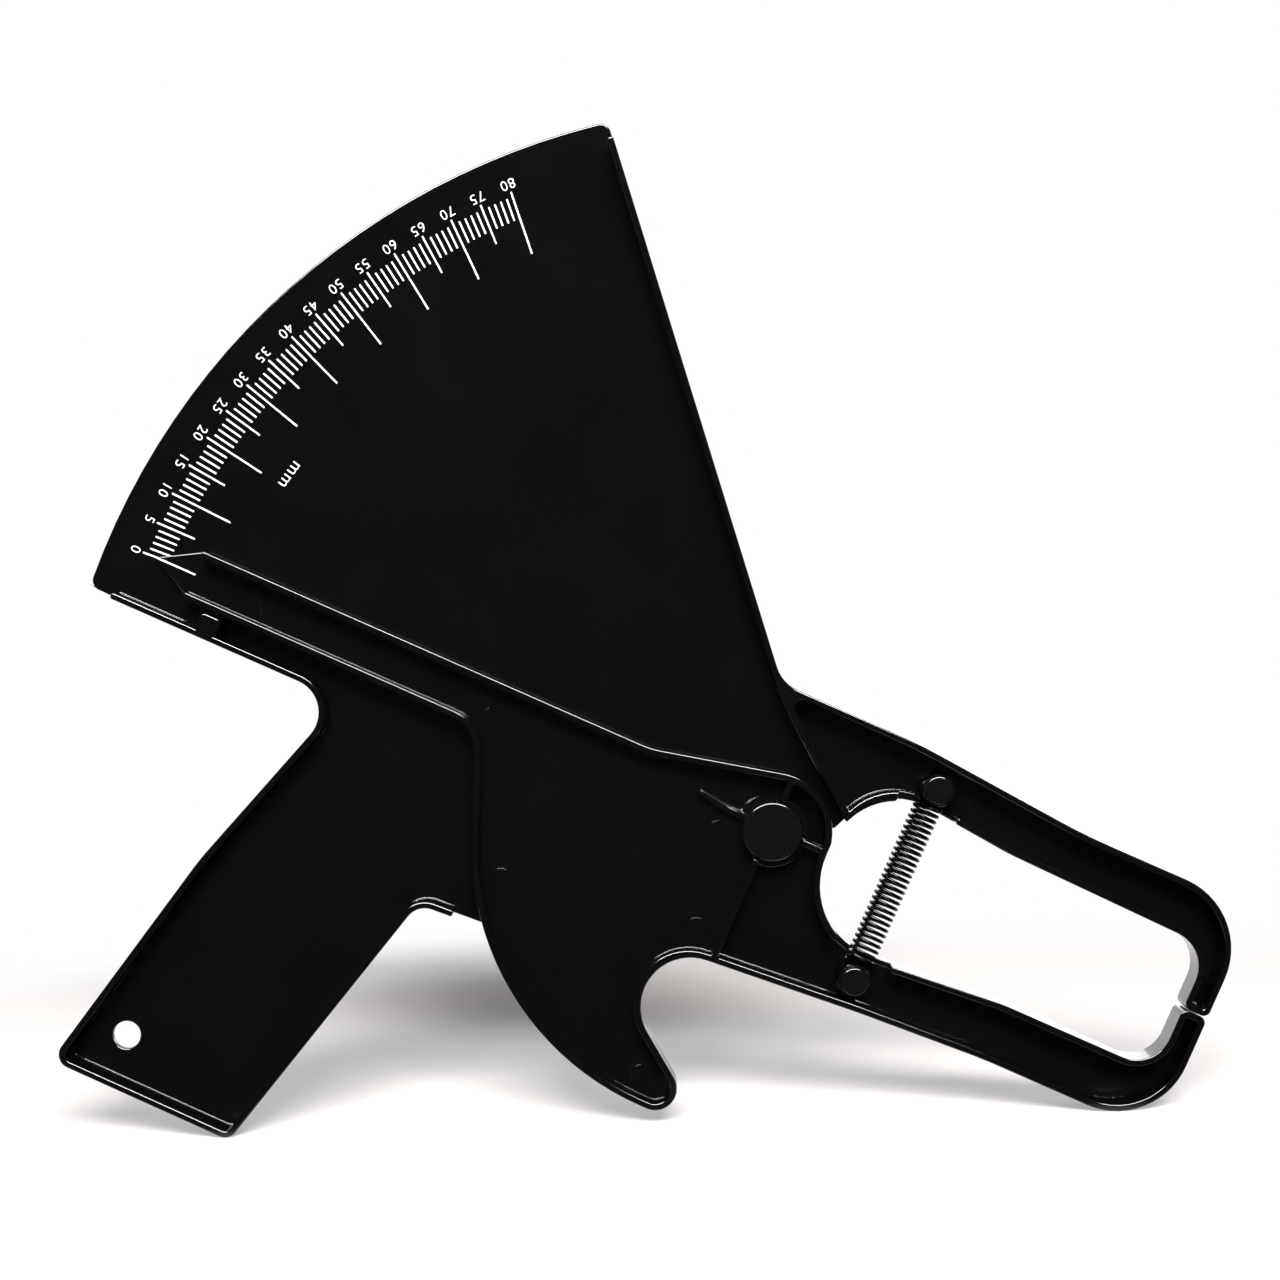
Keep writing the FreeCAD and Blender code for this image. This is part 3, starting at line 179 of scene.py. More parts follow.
def moulded_plastic(name, color, roughness, wave_mm, wave_height_mm, rub_mm, rub_share):
    """A glossy plastic with a weak waviness and faint rub marks."""
    material, tree, output = new_material(name)
    place = add_node(tree, "ShaderNodeTexCoord").outputs["Object"]
    waves = add_node(tree, "ShaderNodeTexNoise", [("Vector", place)],
                     inputs={"Scale": 1 / mm(wave_mm), "Detail": 2.0, "Roughness": 0.5})
    bump = add_node(tree, "ShaderNodeBump", [("Height", waves.outputs["Fac"])],
                    inputs={"Strength": 1.0, "Distance": mm(wave_height_mm)})
    rubs = add_node(tree, "ShaderNodeTexNoise", [("Vector", place)],
                    inputs={"Scale": 1 / mm(rub_mm), "Detail": 6.0, "Roughness": 0.65})
    gloss = add_node(tree, "ShaderNodeMapRange", [("Value", rubs.outputs["Fac"])],
                     inputs={"From Min": RUB_LOW, "From Max": RUB_HIGH,
                             "To Min": roughness * (1 - rub_share), "To Max": roughness * (1 + rub_share)})
    base = hex_color(color)
    rubbed = tuple(RUB_LIGHTER * channel for channel in base[:3]) + (1.0,)
    shade = add_node(tree, "ShaderNodeMix", [("Factor", rubs.outputs["Fac"])], data_type="RGBA",
                     inputs={"A": base, "B": rubbed})
    shader = add_node(tree, "ShaderNodeBsdfPrincipled",
                      [("Base Color", shade.outputs["Result"]), ("Roughness", gloss.outputs["Result"]),
                       ("Normal", bump.outputs["Normal"])],
                      inputs={"IOR": ABS_IOR})
    tree.links.new(shader.outputs["BSDF"], output.inputs["Surface"])
    return material


black_abs = moulded_plastic("moulded_black_abs", "#040404", 0.115, wave_mm=3.5, wave_height_mm=0.002,
                            rub_mm=18, rub_share=0.2)
black_acetal = moulded_plastic("moulded_black_acetal", "#060606", 0.13, wave_mm=1.5, wave_height_mm=0.002,
                               rub_mm=6, rub_share=0.15)
print("plastics:", black_abs.name, black_acetal.name)

# %% [markdown]
# ## Steel wire and stamped steel
#
# Spring wire is drawn through a die, which leaves fine lines along it and a soft shine. This one is dark,
# as wire is that was tempered in oil, and so thin that its lines show only as an uneven gloss. The
# retaining ring is stamped from bright strip, with lines in one direction. Metals keep the shader's own
# IOR, because their shine comes from the base colour.

# %% Steel materials
LINE_LOW = 0.3
LINE_HIGH = 0.7
LINE_DEPTH = mm(0.004)
GLOSSIER = 0.8
DULLER = 1.25


def steel(name, color, roughness, line_mm, stretch):
    """A metal with fine lines, which run long where `stretch` is small."""
    material, tree, output = new_material(name)
    place = add_node(tree, "ShaderNodeTexCoord").outputs["Object"]
    mapping = add_node(tree, "ShaderNodeMapping", [("Vector", place)], inputs={"Scale": stretch})
    lines = add_node(tree, "ShaderNodeTexNoise", [("Vector", mapping.outputs["Vector"])],
                     inputs={"Scale": 1 / mm(line_mm), "Detail": 3.0, "Roughness": 0.6})
    gloss = add_node(tree, "ShaderNodeMapRange", [("Value", lines.outputs["Fac"])],
                     inputs={"From Min": LINE_LOW, "From Max": LINE_HIGH,
                             "To Min": roughness * GLOSSIER, "To Max": roughness * DULLER})
    bump = add_node(tree, "ShaderNodeBump", [("Height", lines.outputs["Fac"])],
                    inputs={"Strength": 1.0, "Distance": LINE_DEPTH})
    shader = add_node(tree, "ShaderNodeBsdfPrincipled",
                      [("Roughness", gloss.outputs["Result"]), ("Normal", bump.outputs["Normal"])],
                      inputs={"Base Color": hex_color(color), "Metallic": 1.0})
    tree.links.new(shader.outputs["BSDF"], output.inputs["Surface"])
    return material


drawn_wire = steel("drawn_spring_wire", "#201f1d", 0.22, line_mm=0.4, stretch=(1.0, 1.0, 1.0))
stamped_steel = steel("stamped_spring_steel", "#b9b8b4", 0.3, line_mm=0.5, stretch=(1.0, 1.0, 0.08))
print("steels:", drawn_wire.name, stamped_steel.name)

# %% [markdown]
# ## Nylon and ink
#
# The washer is dark nylon, a plain matte plastic. The dial is pad printed: a soft pad carries the white ink
# to the plastic, so the film is thin, matte and slightly uneven. A noise with a grain of half a millimetre
# makes it a little greyer where the film is thinner.

# %% Nylon and ink materials
GRAIN_LOW = 0.3
GRAIN_HIGH = 0.5


def matte(name, color, dark, roughness, grain_mm):
    """A matte finish in two tones, mixed by a fine grain."""
    material, tree, output = new_material(name)
    place = add_node(tree, "ShaderNodeTexCoord").outputs["Object"]
    grain = add_node(tree, "ShaderNodeTexNoise", [("Vector", place)],
                     inputs={"Scale": 1 / mm(grain_mm), "Detail": 2.0})
    cover = add_node(tree, "ShaderNodeMapRange", [("Value", grain.outputs["Fac"])],
                     inputs={"From Min": GRAIN_LOW, "From Max": GRAIN_HIGH})
    shade = add_node(tree, "ShaderNodeMix", [("Factor", cover.outputs["Result"])], data_type="RGBA",
                     inputs={"A": hex_color(dark), "B": hex_color(color)})
    shader = add_node(tree, "ShaderNodeBsdfPrincipled", [("Base Color", shade.outputs["Result"])],
                      inputs={"Roughness": roughness})
    tree.links.new(shader.outputs["BSDF"], output.inputs["Surface"])
    return material


nylon = matte("dark_nylon", "#2c2c2b", "#232322", 0.6, grain_mm=0.8)
white_ink = matte("white_pad_print", "#f2f2f0", "#c8c8c6", 0.55, grain_mm=0.5)
print("matte finishes:", nylon.name, white_ink.name)

# %% [markdown]
# ## Soft moulded edges
#
# A mould is cut with small radii, and plastic shrinks away from sharp corners, so no edge of a moulding is
# sharp. These tiny roundings catch the light and draw the bright lines along the rims. The CAD solids have
# sharp edges, so each moulding gets a merged copy of its mesh, with a Bevel modifier that rounds every edge
# that turns by more than 30 degrees. The corner where a rim meets the plate is rounded too, but less. It
# draws a second line beside the first. The pins' inner corners hardly show, so they are only marked sharp.
#
# The copy arrives as loose triangles. Merging its doubles and dissolving its flat faces first leaves clean
# edges for the bevel to follow. Each edge carries a bevel weight, so that the low mark of an ejector pin
# gets a far smaller rounding than a rim.

# %% Which edges are rounded, and how much
SHARP_ANGLE = math.radians(30)
FACES_FRONT = 0.5
LOW_STEP = mm(0.3)
LOW_WEIGHT = 0.18
INNER_WEIGHT = 0.5


def wall_height(face):
    """How far a face that stands on end reaches from back to front. Other faces have no limit."""
    if abs(face.normal.y) > FACES_FRONT:
        return math.inf
    depths = [vert.co.y for vert in face.verts]
    return max(depths) - min(depths)


def weigh_edges(bm, inner_edges):
    """Gives each edge that turns its share of the rounding. Inner edges without a share are marked sharp."""
    weight = bm.edges.layers.float.new("bevel_weight_edge")
    for edge in bm.edges:
        if edge.is_manifold and edge.calc_face_angle() > SHARP_ANGLE:
            low = min(wall_height(face) for face in edge.link_faces) < LOW_STEP
            if edge.is_convex:
                edge[weight] = LOW_WEIGHT if low else 1.0
            elif low or not inner_edges:
                edge.smooth = False
            else:
                edge[weight] = INNER_WEIGHT


# %% [markdown]
# Where roundings of different size meet, the bevel leaves a few faces and edges with almost no size, and
# these are closed up. A Weighted Normal modifier then leaves all the bending of the light to the roundings.
# The wide faces to the front and the back have hundreds of corners, and one corner that leans would draw a
# dark wedge over the whole face, so their corners get the face's own direction at the end.

# %% Clean roundings and flat faces
SLIVER = mm(0.002)
STRAIGHT_AHEAD = 0.9999


def apply_modifiers(piece):
    """Makes what the modifiers show the piece's own mesh."""
    depsgraph = bpy.context.evaluated_depsgraph_get()
    shown = bpy.data.meshes.new_from_object(piece.evaluated_get(depsgraph), preserve_all_data_layers=True,
                                            depsgraph=depsgraph)
    shown.name = piece.name
    piece.modifiers.clear()
    piece.data = shown


def drop_slivers(mesh):
    """Closes up faces and edges that a rounding left with almost no size."""
    bm = bmesh.new()
    bm.from_mesh(mesh)
    bmesh.ops.dissolve_degenerate(bm, dist=SLIVER, edges=bm.edges)
    bm.to_mesh(mesh)
    bm.free()


def straighten_flat_faces(mesh):
    """Gives every face that looks straight to the front or the back exactly its own direction."""
    normals = [Vector(corner.vector) for corner in mesh.corner_normals]
    for polygon in mesh.polygons:
        if abs(polygon.normal.y) > STRAIGHT_AHEAD:
            for corner in polygon.loop_indices:
                normals[corner] = Vector(polygon.normal)
    mesh.normals_split_custom_set(normals)


# %% From a bmesh to a piece of the scene
def make_piece(bm, name, material, smooth=True):
    """Ends a bmesh as an object of the scene with one material."""
    mesh = bpy.data.meshes.new(name)
    bm.to_mesh(mesh)
    bm.free()
    mesh.materials.append(material)
    if smooth:
        for polygon in mesh.polygons:
            polygon.use_smooth = True
    piece = bpy.data.objects.new(name, mesh)
    scene.collection.objects.link(piece)
    return piece


# %% A finished copy of a CAD solid
MERGE = mm(0.002)
FLAT_ANGLE = math.radians(0.5)
ROUNDING_SEGMENTS = 3


def finished_copy(node, body, material, edge_mm, inner_edges=False):
    """A copy of a CAD node with rounded edges and a finish. It moves with its body and replaces the node."""
    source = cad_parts[node]
    bm = bmesh.new()
    bm.from_mesh(source.data)
    bmesh.ops.remove_doubles(bm, verts=bm.verts, dist=MERGE)
    bmesh.ops.dissolve_limit(bm, angle_limit=FLAT_ANGLE, verts=bm.verts, edges=bm.edges)
    weigh_edges(bm, inner_edges)
    piece = make_piece(bm, node + "_finished", material)
    rounding = piece.modifiers.new("moulded_edges", "BEVEL")
    rounding.width = mm(edge_mm)
    rounding.segments = ROUNDING_SEGMENTS
    rounding.limit_method = "WEIGHT"
    rounding.use_clamp_overlap = False
    apply_modifiers(piece)
    drop_slivers(piece.data)
    flatness = piece.modifiers.new("flat_faces", "WEIGHTED_NORMAL")
    flatness.mode = "FACE_AREA"
    flatness.keep_sharp = True
    apply_modifiers(piece)
    straighten_flat_faces(piece.data)
    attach(piece, body)
    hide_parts(node)
    print("%s: %d faces" % (piece.name, len(piece.data.polygons)))


# %% Mouldings
finished_copy("frame_moulding", "frame", black_abs, edge_mm=0.4, inner_edges=True)
finished_copy("lever_moulding", "lever", black_abs, edge_mm=0.3, inner_edges=True)

# %% [markdown]
# ## Pins
#
# The pivot pin and the spring pins are turned shapes with flat heads. Their CAD solids already have the
# right profile, so they get the same treatment with a smaller rounding. So do the retaining ring and the
# washer.

# %% Pins, ring and washer
finished_copy("pivot_pin", "frame", black_acetal, edge_mm=0.15)
finished_copy("spring_pin_upper", "frame", black_acetal, edge_mm=0.12)
finished_copy("spring_pin_lower", "lever", black_acetal, edge_mm=0.12)
finished_copy("pivot_retainer", "frame", stamped_steel, edge_mm=0.1)
finished_copy("pivot_washer", "frame", nylon, edge_mm=0.05)

# %% [markdown]
# ## The return spring
#
# A tension spring is one wire: coils, and at each end a full loop that hangs on a pin. In CAD the coils are
# a ridged rod and the loops are plain rings. Here the wire is real: a small circle is spun round the
# spring's axis while it climbs, which Blender's spin does when it also gets a step along the axis. The same
# circle is then bent out of the last coil, drawn along to the pin and spun round it.
#
# The spring is drawn round its own middle, with Y along its axis. Half a turn about the depth axis brings
# one end of it onto the other, so one hook serves both ends. Spin winds it like a right-hand screw. This
# spring is wound the other way, so its mesh is mirrored in depth, and its normals are worked out after
# that.

# %% Sizes of the spring
WIRE = mm(0.42)
WIRE_SIDES = 10
COIL_TURNS = 28.5
COIL_RADIUS = mm(3.5) - WIRE
BEND_RADIUS = mm(0.8)
EYE_RADIUS = mm(3.2)
EYE_TURN = math.radians(320)
HALF_COILS = mm(19.6)
EYE_REACH = {"spring_hook_upper": mm(23.2), "spring_hook_lower": mm(24.3)}
STEPS_PER_TURN = 28
FEWEST_STEPS = 4

coil_low, coil_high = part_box("return_spring")
coil_middle = (coil_low + coil_high) / 2
coil_depth = 1000 * (back_y - coil_middle.y)
coil_x = 1000 * (coil_middle - drawing_origin).dot(rightward)
lead = math.atan(BEND_RADIUS / COIL_RADIUS)
coil_angle = 2 * math.pi * COIL_TURNS - 2 * lead
print("coils: axis %.2f mm from the pivot, %.1f mm from the back, %.2f turns"
      % (coil_x, coil_depth, coil_angle / (2 * math.pi)))


# %% Wire
def wire_ring(bm, place):
    """A ring across the wire, made in an empty bmesh and ready to be spun or drawn along."""
    bmesh.ops.create_circle(bm, cap_ends=False, segments=WIRE_SIDES, radius=WIRE, matrix=place)
    return list(bm.verts) + list(bm.edges)


def bent(bm, ring, centre, axis, angle, climb=0.0):
    """Spins the wire's ring about an axis and gives its last ring."""
    steps = max(FEWEST_STEPS, round(STEPS_PER_TURN * angle / (2 * math.pi)))
    step = Vector(axis).normalized() * climb / steps
    made = bmesh.ops.spin(bm, geom=ring, cent=centre, axis=axis, dvec=step, angle=angle, steps=steps,
                          use_merge=False)
    return made["geom_last"]


def drawn(bm, ring, along):
    """Draws the wire's ring straight along and gives its last ring."""
    edges = [part for part in ring if isinstance(part, bmesh.types.BMEdge)]
    made = bmesh.ops.extrude_edge_only(bm, edges=edges)["geom"]
    verts = [part for part in made if isinstance(part, bmesh.types.BMVert)]
    bmesh.ops.translate(bm, verts=verts, vec=along)
    return [part for part in made if not isinstance(part, bmesh.types.BMFace)]


def order_faces(bm):
    """Puts the faces in the order of their corners, because spin leaves them in another order on each run."""
    bm.verts.index_update()
    count = len(bm.verts)
    corners = {face: [vert.index for vert in face.verts] for face in bm.faces}
    bm.faces.sort(key=lambda face: max(corners[face]) * count + min(corners[face]))


def wire_piece(bm, name):
    """Closes the ends of the wire, winds it the other way round and makes it an object on the drawing."""
    bmesh.ops.holes_fill(bm, edges=[edge for edge in bm.edges if edge.is_boundary])
    bmesh.ops.scale(bm, verts=bm.verts, vec=(1, 1, -1))
    bmesh.ops.recalc_face_normals(bm, faces=bm.faces)
    order_faces(bm)
    piece = make_piece(bm, name, drawn_wire)
    piece.data.transform(standing(coil_x, 0, coil_depth))
    print("%s: %d faces" % (name, len(piece.data.polygons)))
    return piece


# %% Coils
on_coil = Matrix.Translation((COIL_RADIUS, 0, 0))
first_turn = Matrix.Rotation(math.pi + lead, 4, "Y")

bm = bmesh.new()
ring = wire_ring(bm, Matrix.Translation((0, -HALF_COILS, 0)) @ first_turn @ on_coil)
bent(bm, ring, (0, 0, 0), (0, 1, 0), coil_angle, climb=2 * HALF_COILS)
coils = wire_piece(bm, "spring_coils")
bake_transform(coils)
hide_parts("return_spring")


# %% Hooks
def hook(node, body, turn):
    """The end of the wire: out of the last coil, along to the pin and round it."""
    bm = bmesh.new()
    out_of_coil = Matrix.Translation((0, HALF_COILS, 0)) @ Matrix.Rotation(-lead, 4, "Y") @ on_coil
    ring = wire_ring(bm, out_of_coil)
    start = out_of_coil.translation
    heading = Vector((math.sin(lead), 0, -math.cos(lead)))
    side = heading.cross(Vector((0, 1, 0)))
    ring = bent(bm, ring, start + Vector((0, BEND_RADIUS, 0)), side, math.pi / 2)
    leg_x = (start + heading * BEND_RADIUS).x
    leg = EYE_REACH[node] - HALF_COILS - BEND_RADIUS
    ring = drawn(bm, ring, (0, leg, 0))
    ring = bent(bm, ring, (leg_x - EYE_RADIUS, EYE_REACH[node], 0), (0, 0, 1), EYE_TURN)
    bmesh.ops.rotate(bm, verts=bm.verts, cent=(0, 0, 0), matrix=Matrix.Rotation(turn, 3, "Z"))
    piece = wire_piece(bm, node + "_wire")
    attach(piece, body)
    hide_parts(node)


hook("spring_hook_upper", "spring_top", 0.0)
hook("spring_hook_lower", "spring_foot", math.pi)

# %% [markdown]
# ## The printed dial
#
# The lines are thin CAD solids, so they only need the ink. The numbers are text: Blender makes each one as
# a curve, which is turned into a mesh before it is placed. Their tops point to the pivot, and they count
# from zero at the pointer's rest position. The lines lie on the dial's plate, so their back gives its
# depth.
#
# A font's size is more than the height of its capitals, so each height is divided by their share of it. The
# strokes are thinned a little and the letters stand a little apart.

# %% Ink on the lines
for node in ("scale_marks", "index_line"):
    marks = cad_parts[node]
    marks.data.materials.clear()
    marks.data.materials.append(white_ink)
    print("%s: printed with %s" % (node, white_ink.name))

# %% Sizes of the lettering
MILLIMETRE_ANGLE = 0.55
LAST_NUMBER = 80
NUMBER_STEP = 5
NUMBER_RADIUS = 162.9
NUMBER_HEIGHT = 2.4
UNIT_READING = 22.9
UNIT_RADIUS = 139.9
UNIT_HEIGHT = 3.0
CAPITAL_SHARE = 0.7
LETTER_SPACING = 1.12
STROKE_THINNER = 0.04
HALF_INK = 0.02
INK_LIFT = 0.03
CURVE_STEPS = 4

marks_low, marks_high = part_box("scale_marks")
plate_depth = 1000 * (back_y - marks_high.y)
print("plate of the dial: %.2f mm from the back, lines %.2f mm thick"
      % (plate_depth, 1000 * (marks_high.y - marks_low.y)))


# %% Lettering
def polar(radius, degrees):
    """A place of the drawing by its distance from the pivot and its angle."""
    angle = math.radians(degrees)
    return radius * math.cos(angle), radius * math.sin(angle)


def lettering(bm, text, height_mm, x, y, turn):
    """Adds one short text to a mesh, centred at a place of the drawing and turned."""
    curve = bpy.data.curves.new("lettering", "FONT")
    curve.body = text
    curve.align_x = "CENTER"
    curve.align_y = "CENTER"
    curve.size = mm(height_mm) / CAPITAL_SHARE
    curve.space_character = LETTER_SPACING
    curve.offset = -mm(STROKE_THINNER)
    curve.extrude = mm(HALF_INK)
    curve.resolution_u = CURVE_STEPS
    holder = bpy.data.objects.new("lettering", curve)
    flat = bpy.data.meshes.new_from_object(holder)
    flat.transform(standing(x, y, plate_depth + INK_LIFT, turn))
    bm.from_mesh(flat)
    bpy.data.objects.remove(holder)
    bpy.data.curves.remove(curve)
    bpy.data.meshes.remove(flat)


# %% Numbers and unit
bm = bmesh.new()
for value in range(0, LAST_NUMBER + 1, NUMBER_STEP):
    angle = 180 - value * MILLIMETRE_ANGLE
    x, y = polar(NUMBER_RADIUS, angle)
    lettering(bm, str(value), NUMBER_HEIGHT, x, y, angle + 90)
unit_angle = 180 - UNIT_READING * MILLIMETRE_ANGLE
x, y = polar(UNIT_RADIUS, unit_angle)
lettering(bm, "mm", UNIT_HEIGHT, x, y, unit_angle + 90)
numbers = make_piece(bm, "dial_numbers", white_ink, smooth=False)
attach(numbers, "frame")
print("dial numbers: %d faces" % len(numbers.data.polygons))

# %% [markdown]
# ## Floor
#
# The caliper stands on white paper that has no visible end. It lies a twentieth of a millimetre low, so
# that no face of the caliper lies in it.

# %% Floor
FLOOR_HALF = 3.0
FLOOR_FRONT = 0.6
FLOOR_DROP = mm(0.05)

white_floor, tree, output = new_material("white_paper_sweep")
bm = bmesh.new()
bmesh.ops.create_grid(bm, x_segments=1, y_segments=1, size=FLOOR_HALF)
floor = make_piece(bm, "studio_floor", white_floor, smooth=False)
floor.data.transform(Matrix.Translation((0, FLOOR_HALF - FLOOR_FRONT, -FLOOR_DROP)))
print("floor: %.1f m wide, from %.1f m in front of the caliper" % (2 * FLOOR_HALF, FLOOR_FRONT))

# %% [markdown]
# Far from the caliper the floor's material shows the camera plain white, a glow instead of its lit surface.
# Nearer to it, more and more of the lit surface shows, and most of all round a place behind the caliper,
# where the shadow is deepest. Around that place part of the glow stays, a painted light that makes the real
# shadow paler. Reflections see the same. The light itself meets an ordinary pale paper. The paper is a
# little warm, which only its shadow shows.

# %% Where the floor looks plain white
FADE_START = 0.24
FADE_END = 0.42
SHADOW_CORE = (-0.02, 0.22, 0.0)
CORE_START = 0.03
CORE_END = 0.11
PAINTED_WHITE_AT_CORE = 0.04
PAINTED_WHITE_IN_SHADE = 0.38

rays = add_node(tree, "ShaderNodeLightPath").outputs
seen = add_node(tree, "ShaderNodeMath", [(0, rays["Is Camera Ray"]), (1, rays["Is Glossy Ray"])],
                operation="MAXIMUM")
seen = add_node(tree, "ShaderNodeMath", [(0, seen.outputs[0]), (1, rays["Is Transmission Ray"])],
                operation="MAXIMUM")
place = add_node(tree, "ShaderNodeTexCoord").outputs["Object"]
far = add_node(tree, "ShaderNodeVectorMath", [(0, place)], operation="LENGTH")
fade = add_node(tree, "ShaderNodeMapRange", [("Value", far.outputs["Value"])],
                interpolation_type="SMOOTHSTEP", inputs={"From Min": FADE_START, "From Max": FADE_END})
off_core = add_node(tree, "ShaderNodeVectorMath", [(0, place)], operation="DISTANCE", inputs={1: SHADOW_CORE})
# Painted light: outside the shadow's core part of the white glow stays, which makes the real shadow paler.
painted_shadow_lift = add_node(tree, "ShaderNodeMapRange", [("Value", off_core.outputs["Value"])],
                interpolation_type="SMOOTHSTEP",
                inputs={"From Min": CORE_START, "From Max": CORE_END,
                        "To Min": PAINTED_WHITE_AT_CORE, "To Max": PAINTED_WHITE_IN_SHADE})
painted_white_share = add_node(tree, "ShaderNodeMath", [(0, fade.outputs[0]), (1, painted_shadow_lift.outputs[0])], operation="MAXIMUM")
share = add_node(tree, "ShaderNodeMath", [(0, seen.outputs[0]), (1, painted_white_share.outputs[0])], operation="MULTIPLY")
paper = add_node(tree, "ShaderNodeBsdfDiffuse", inputs={"Color": hex_color("#fbf5f3")})
painted_white_glow = add_node(tree, "ShaderNodeEmission", inputs={"Strength": 1.0})
both = add_node(tree, "ShaderNodeMixShader",
                [("Fac", share.outputs[0]), (1, paper.outputs[0]), (2, painted_white_glow.outputs[0])])
print("floor: fades to plain white between %.2f and %.2f m away" % (FADE_START, FADE_END))

# %% [markdown]
# Reflections see one thing more: a painted dark reflection. In front of the caliper the floor looks almost
# black to reflections only, as a black card would, though no card lies there. Without it the flat faces would
# mirror the pale floor and look grey towards the bottom. It has a round gap below the pins, so that the lower
# edges of their heads catch some light.

# %% A painted dark reflection in front of the caliper
DARK_REFLECTION_START = -0.006
DARK_REFLECTION_FADE = 0.014
DARK_REFLECTION_GAP = (0.045, -0.05, 0.0)
GAP_START = 0.02
GAP_END = 0.045
DARK_REFLECTION_STRENGTH = 0.02

front = add_node(tree, "ShaderNodeSeparateXYZ", [(0, place)]).outputs["Y"]
dark_reflection_mask = add_node(tree, "ShaderNodeMapRange", [("Value", front)], interpolation_type="SMOOTHSTEP",
                inputs={"From Min": DARK_REFLECTION_START, "From Max": DARK_REFLECTION_START - DARK_REFLECTION_FADE})
off_gap = add_node(tree, "ShaderNodeVectorMath", [(0, place)], operation="DISTANCE", inputs={1: DARK_REFLECTION_GAP})
closed = add_node(tree, "ShaderNodeMapRange", [("Value", off_gap.outputs["Value"])],
                  interpolation_type="SMOOTHSTEP", inputs={"From Min": GAP_START, "From Max": GAP_END})
dark_reflection_mask = add_node(tree, "ShaderNodeMath", [(0, dark_reflection_mask.outputs[0]), (1, closed.outputs[0])], operation="MULTIPLY")
painted_dark_share = add_node(tree, "ShaderNodeMath", [(0, rays["Is Glossy Ray"]), (1, dark_reflection_mask.outputs[0])],
                  operation="MULTIPLY")
# Painted dark reflection: only reflections see this near-black floor in front of the caliper.
painted_dark_reflection = add_node(tree, "ShaderNodeEmission", inputs={"Strength": DARK_REFLECTION_STRENGTH})
top = add_node(tree, "ShaderNodeMixShader",
               [("Fac", painted_dark_share.outputs[0]), (1, both.outputs[0]), (2, painted_dark_reflection.outputs[0])])
tree.links.new(top.outputs[0], output.inputs["Surface"])
print("%s: %d nodes" % (white_floor.name, len(tree.nodes)))

# %% [markdown]
# ## World
#
# The world is white for the camera. The plastic mirrors what is behind the camera, and a studio is dark
# there, so those reflections see a dim room. The more a reflection looks to the back, the whiter it gets.

# %% World
ROOM_STRENGTH = 0.03
SWEEP_END = 0.5

world = bpy.data.worlds.new("studio")
scene.world = world
world.use_nodes = True
tree = world.node_tree
tree.nodes.clear()
rays = add_node(tree, "ShaderNodeLightPath").outputs
way = add_node(tree, "ShaderNodeTexCoord").outputs["Generated"]
depth = add_node(tree, "ShaderNodeSeparateXYZ", [(0, way)]).outputs["Y"]
sweep = add_node(tree, "ShaderNodeMapRange", [("Value", depth)], interpolation_type="SMOOTHSTEP",
                 inputs={"From Min": 0.0, "From Max": SWEEP_END})
mirrored = add_node(tree, "ShaderNodeMath", [(0, rays["Is Glossy Ray"]), (1, sweep.outputs[0])],
                    operation="MULTIPLY")
direct = add_node(tree, "ShaderNodeMath", [(0, rays["Is Camera Ray"]), (1, rays["Is Transmission Ray"])],
                  operation="MAXIMUM")
seen = add_node(tree, "ShaderNodeMath", [(0, direct.outputs[0]), (1, mirrored.outputs[0])],
                operation="MAXIMUM")
room = add_node(tree, "ShaderNodeBackground",
                inputs={"Color": hex_color("#ffffff"), "Strength": ROOM_STRENGTH})
white = add_node(tree, "ShaderNodeBackground", inputs={"Color": hex_color("#ffffff"), "Strength": 1.0})
choice = add_node(tree, "ShaderNodeMixShader",
                  [("Fac", seen.outputs[0]), (1, room.outputs[0]), (2, white.outputs[0])])
add_node(tree, "ShaderNodeOutputWorld", [("Surface", choice.outputs[0])])
print("world %s: %d nodes" % (world.name, len(tree.nodes)))

# %% [markdown]
# ## Lamps
#
# One softbox stands in front of the caliper. It gives most of the light, and throws the soft shadow back on
# the floor. Reflections don't see it, so that it draws no lines of its own on the black plastic. A small
# one overhead keeps the shadow from going black.
#
# The bright lines along the edges of black plastic are mirror images of a long light. A long softbox strong
# enough to draw them would also flood the floor, so here that light is a lamp that only reflections see. A
# second one like it stands behind the caliper. It lights the walls that face up, which are seen at a
# grazing angle.

# %% Lamps
LAMP_AIM = Vector((0.0, 0.0, 0.1))


def soft_lamp(name, place, width, height, watts):
    """A softbox of a size in metres that looks at the caliper."""
    lamp = bpy.data.lights.new(name, "AREA")
    lamp.shape = "RECTANGLE"
    lamp.size = width
    lamp.size_y = height
    lamp.energy = watts
    look = LAMP_AIM - Vector(place)
    holder = bpy.data.objects.new(name, lamp)
    holder.location = place
    holder.rotation_euler = look.to_track_quat("-Z", "Y").to_euler()
    scene.collection.objects.link(holder)
    print("%s: %.0f W, %.1f m away" % (name, watts, look.length))
    return holder


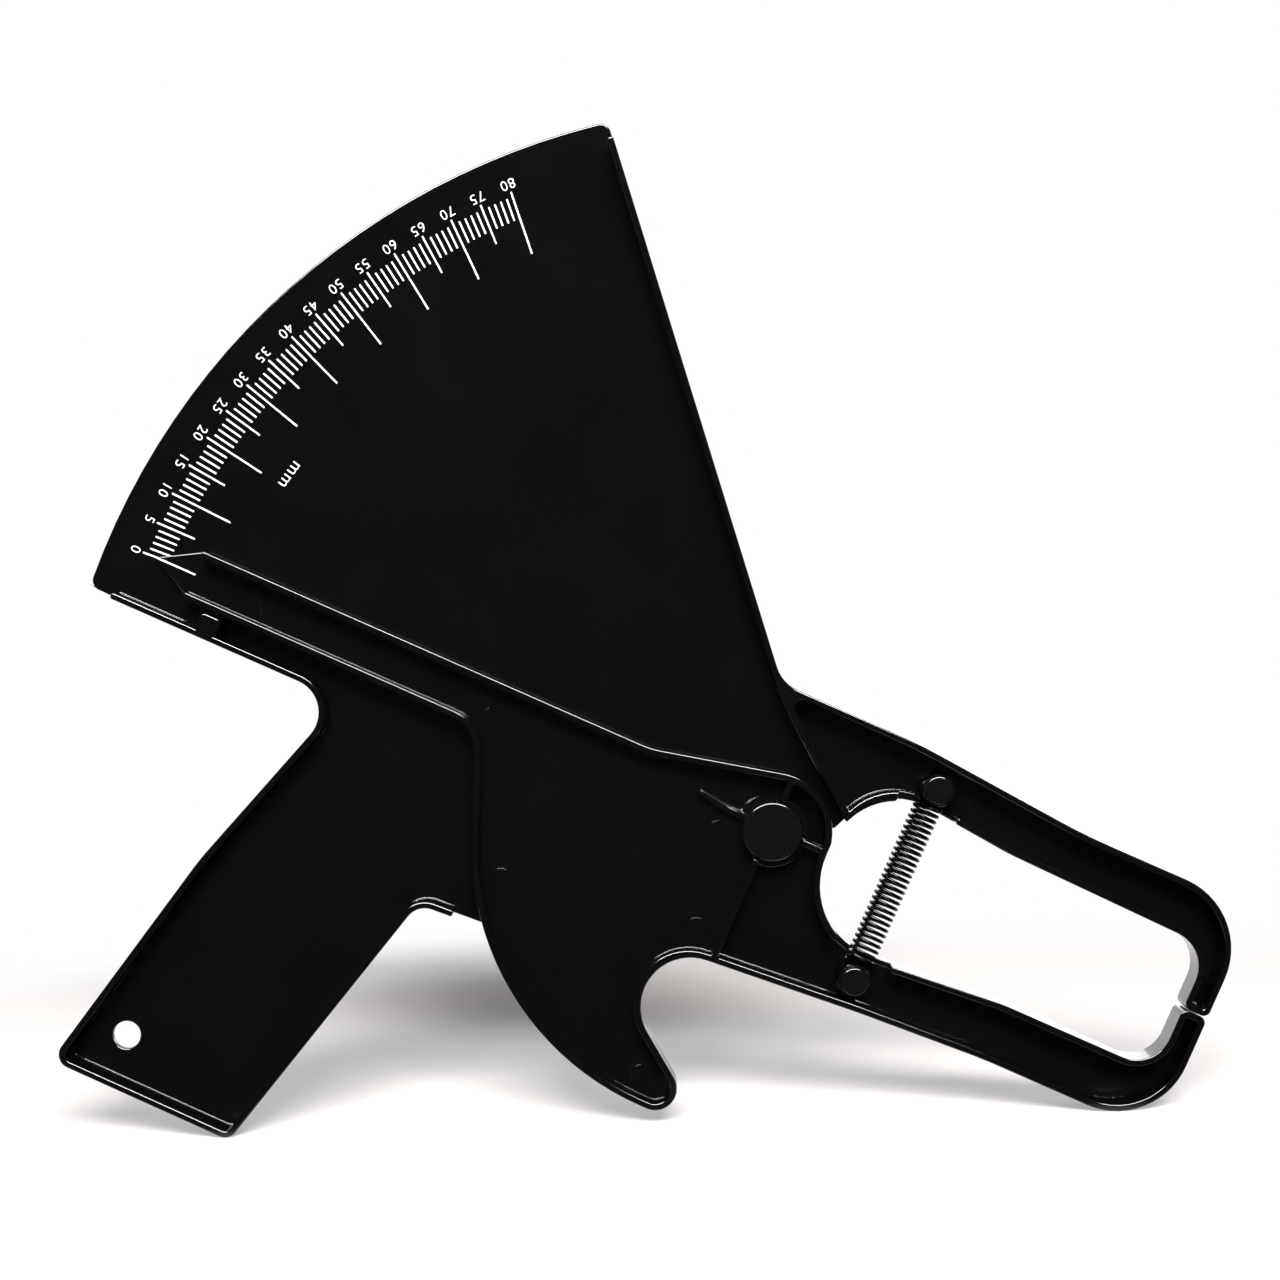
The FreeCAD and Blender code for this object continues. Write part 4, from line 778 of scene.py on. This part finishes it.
front_light = soft_lamp("front_softbox", (0.1, -2.1, 1.15), width=1.1, height=0.6, watts=140)
front_light.visible_glossy = False
soft_lamp("overhead_softbox", (0.0, 0.0, 1.1), width=0.4, height=0.2, watts=2)
edge_light = soft_lamp("edge_light", (-0.05, -0.7, 0.95), width=1.3, height=0.4, watts=110)
back_light = soft_lamp("back_light", (0.4, 1.0, 0.2), width=0.6, height=0.4, watts=1.1)
for lamp in (edge_light, back_light):
    lamp.visible_diffuse = False
    lamp.visible_transmission = False

# %% [markdown]
# ## Camera
#
# The camera looks almost straight at the front, one degree from above and less than one from the right,
# from 0.7 m away. It is rolled a little, so the caliper seems to lean. Its aim is set by where the pivot
# lies in the picture, which is 1280 points wide and high, and counts from the front of the dial's plate.
# The directions are worked out for a caliper that lies on its back with the dial up, and stood up at the
# end.

# %% Camera
PICTURE = 1280
FOCAL_PIXELS = 2989
SENSOR_WIDTH = 36.0
DISTANCE = 0.7
NEAREST = 0.01
AZIMUTH = math.radians(0.7)
ELEVATION = math.radians(1.0)
ROLL = math.radians(-1.834)
PIVOT_PIXEL = (771.5, 829.0)

to_camera = Vector((math.sin(AZIMUTH) * math.cos(ELEVATION), math.sin(ELEVATION),
                    math.cos(AZIMUTH) * math.cos(ELEVATION)))
right = Vector((0, 1, 0)).cross(to_camera).normalized()
up = to_camera.cross(right)
across = (PIVOT_PIXEL[0] - PICTURE / 2) / FOCAL_PIXELS
above = -(PIVOT_PIXEL[1] - PICTURE / 2) / FOCAL_PIXELS
offset = (to_camera - right * across - up * above) * DISTANCE + Vector((0, 0, mm(plate_depth)))
rolled = Matrix.Rotation(ROLL, 3, "Z")
upright = Matrix(((1, 0, 0), (0, 0, -1), (0, 1, 0)))
right, up, to_camera, offset = (upright @ (rolled @ v) for v in (right, up, to_camera, offset))

camera_data = bpy.data.cameras.new("camera")
camera_data.sensor_width = SENSOR_WIDTH
camera_data.lens = SENSOR_WIDTH * FOCAL_PIXELS / PICTURE
camera_data.clip_start = NEAREST
camera = bpy.data.objects.new("camera", camera_data)
scene.collection.objects.link(camera)
axes = Matrix((right, up, to_camera)).transposed().to_4x4()
camera.matrix_world = Matrix.Translation(drawing_origin + offset) @ axes
scene.camera = camera
print("camera at", [round(v, 3) for v in camera.location], "lens %.1f mm" % camera_data.lens)

# %% [markdown]
# ## Finish
#
# The Standard view shows colours as they are written.

# %% Finish
scene.view_settings.view_transform = "Standard"
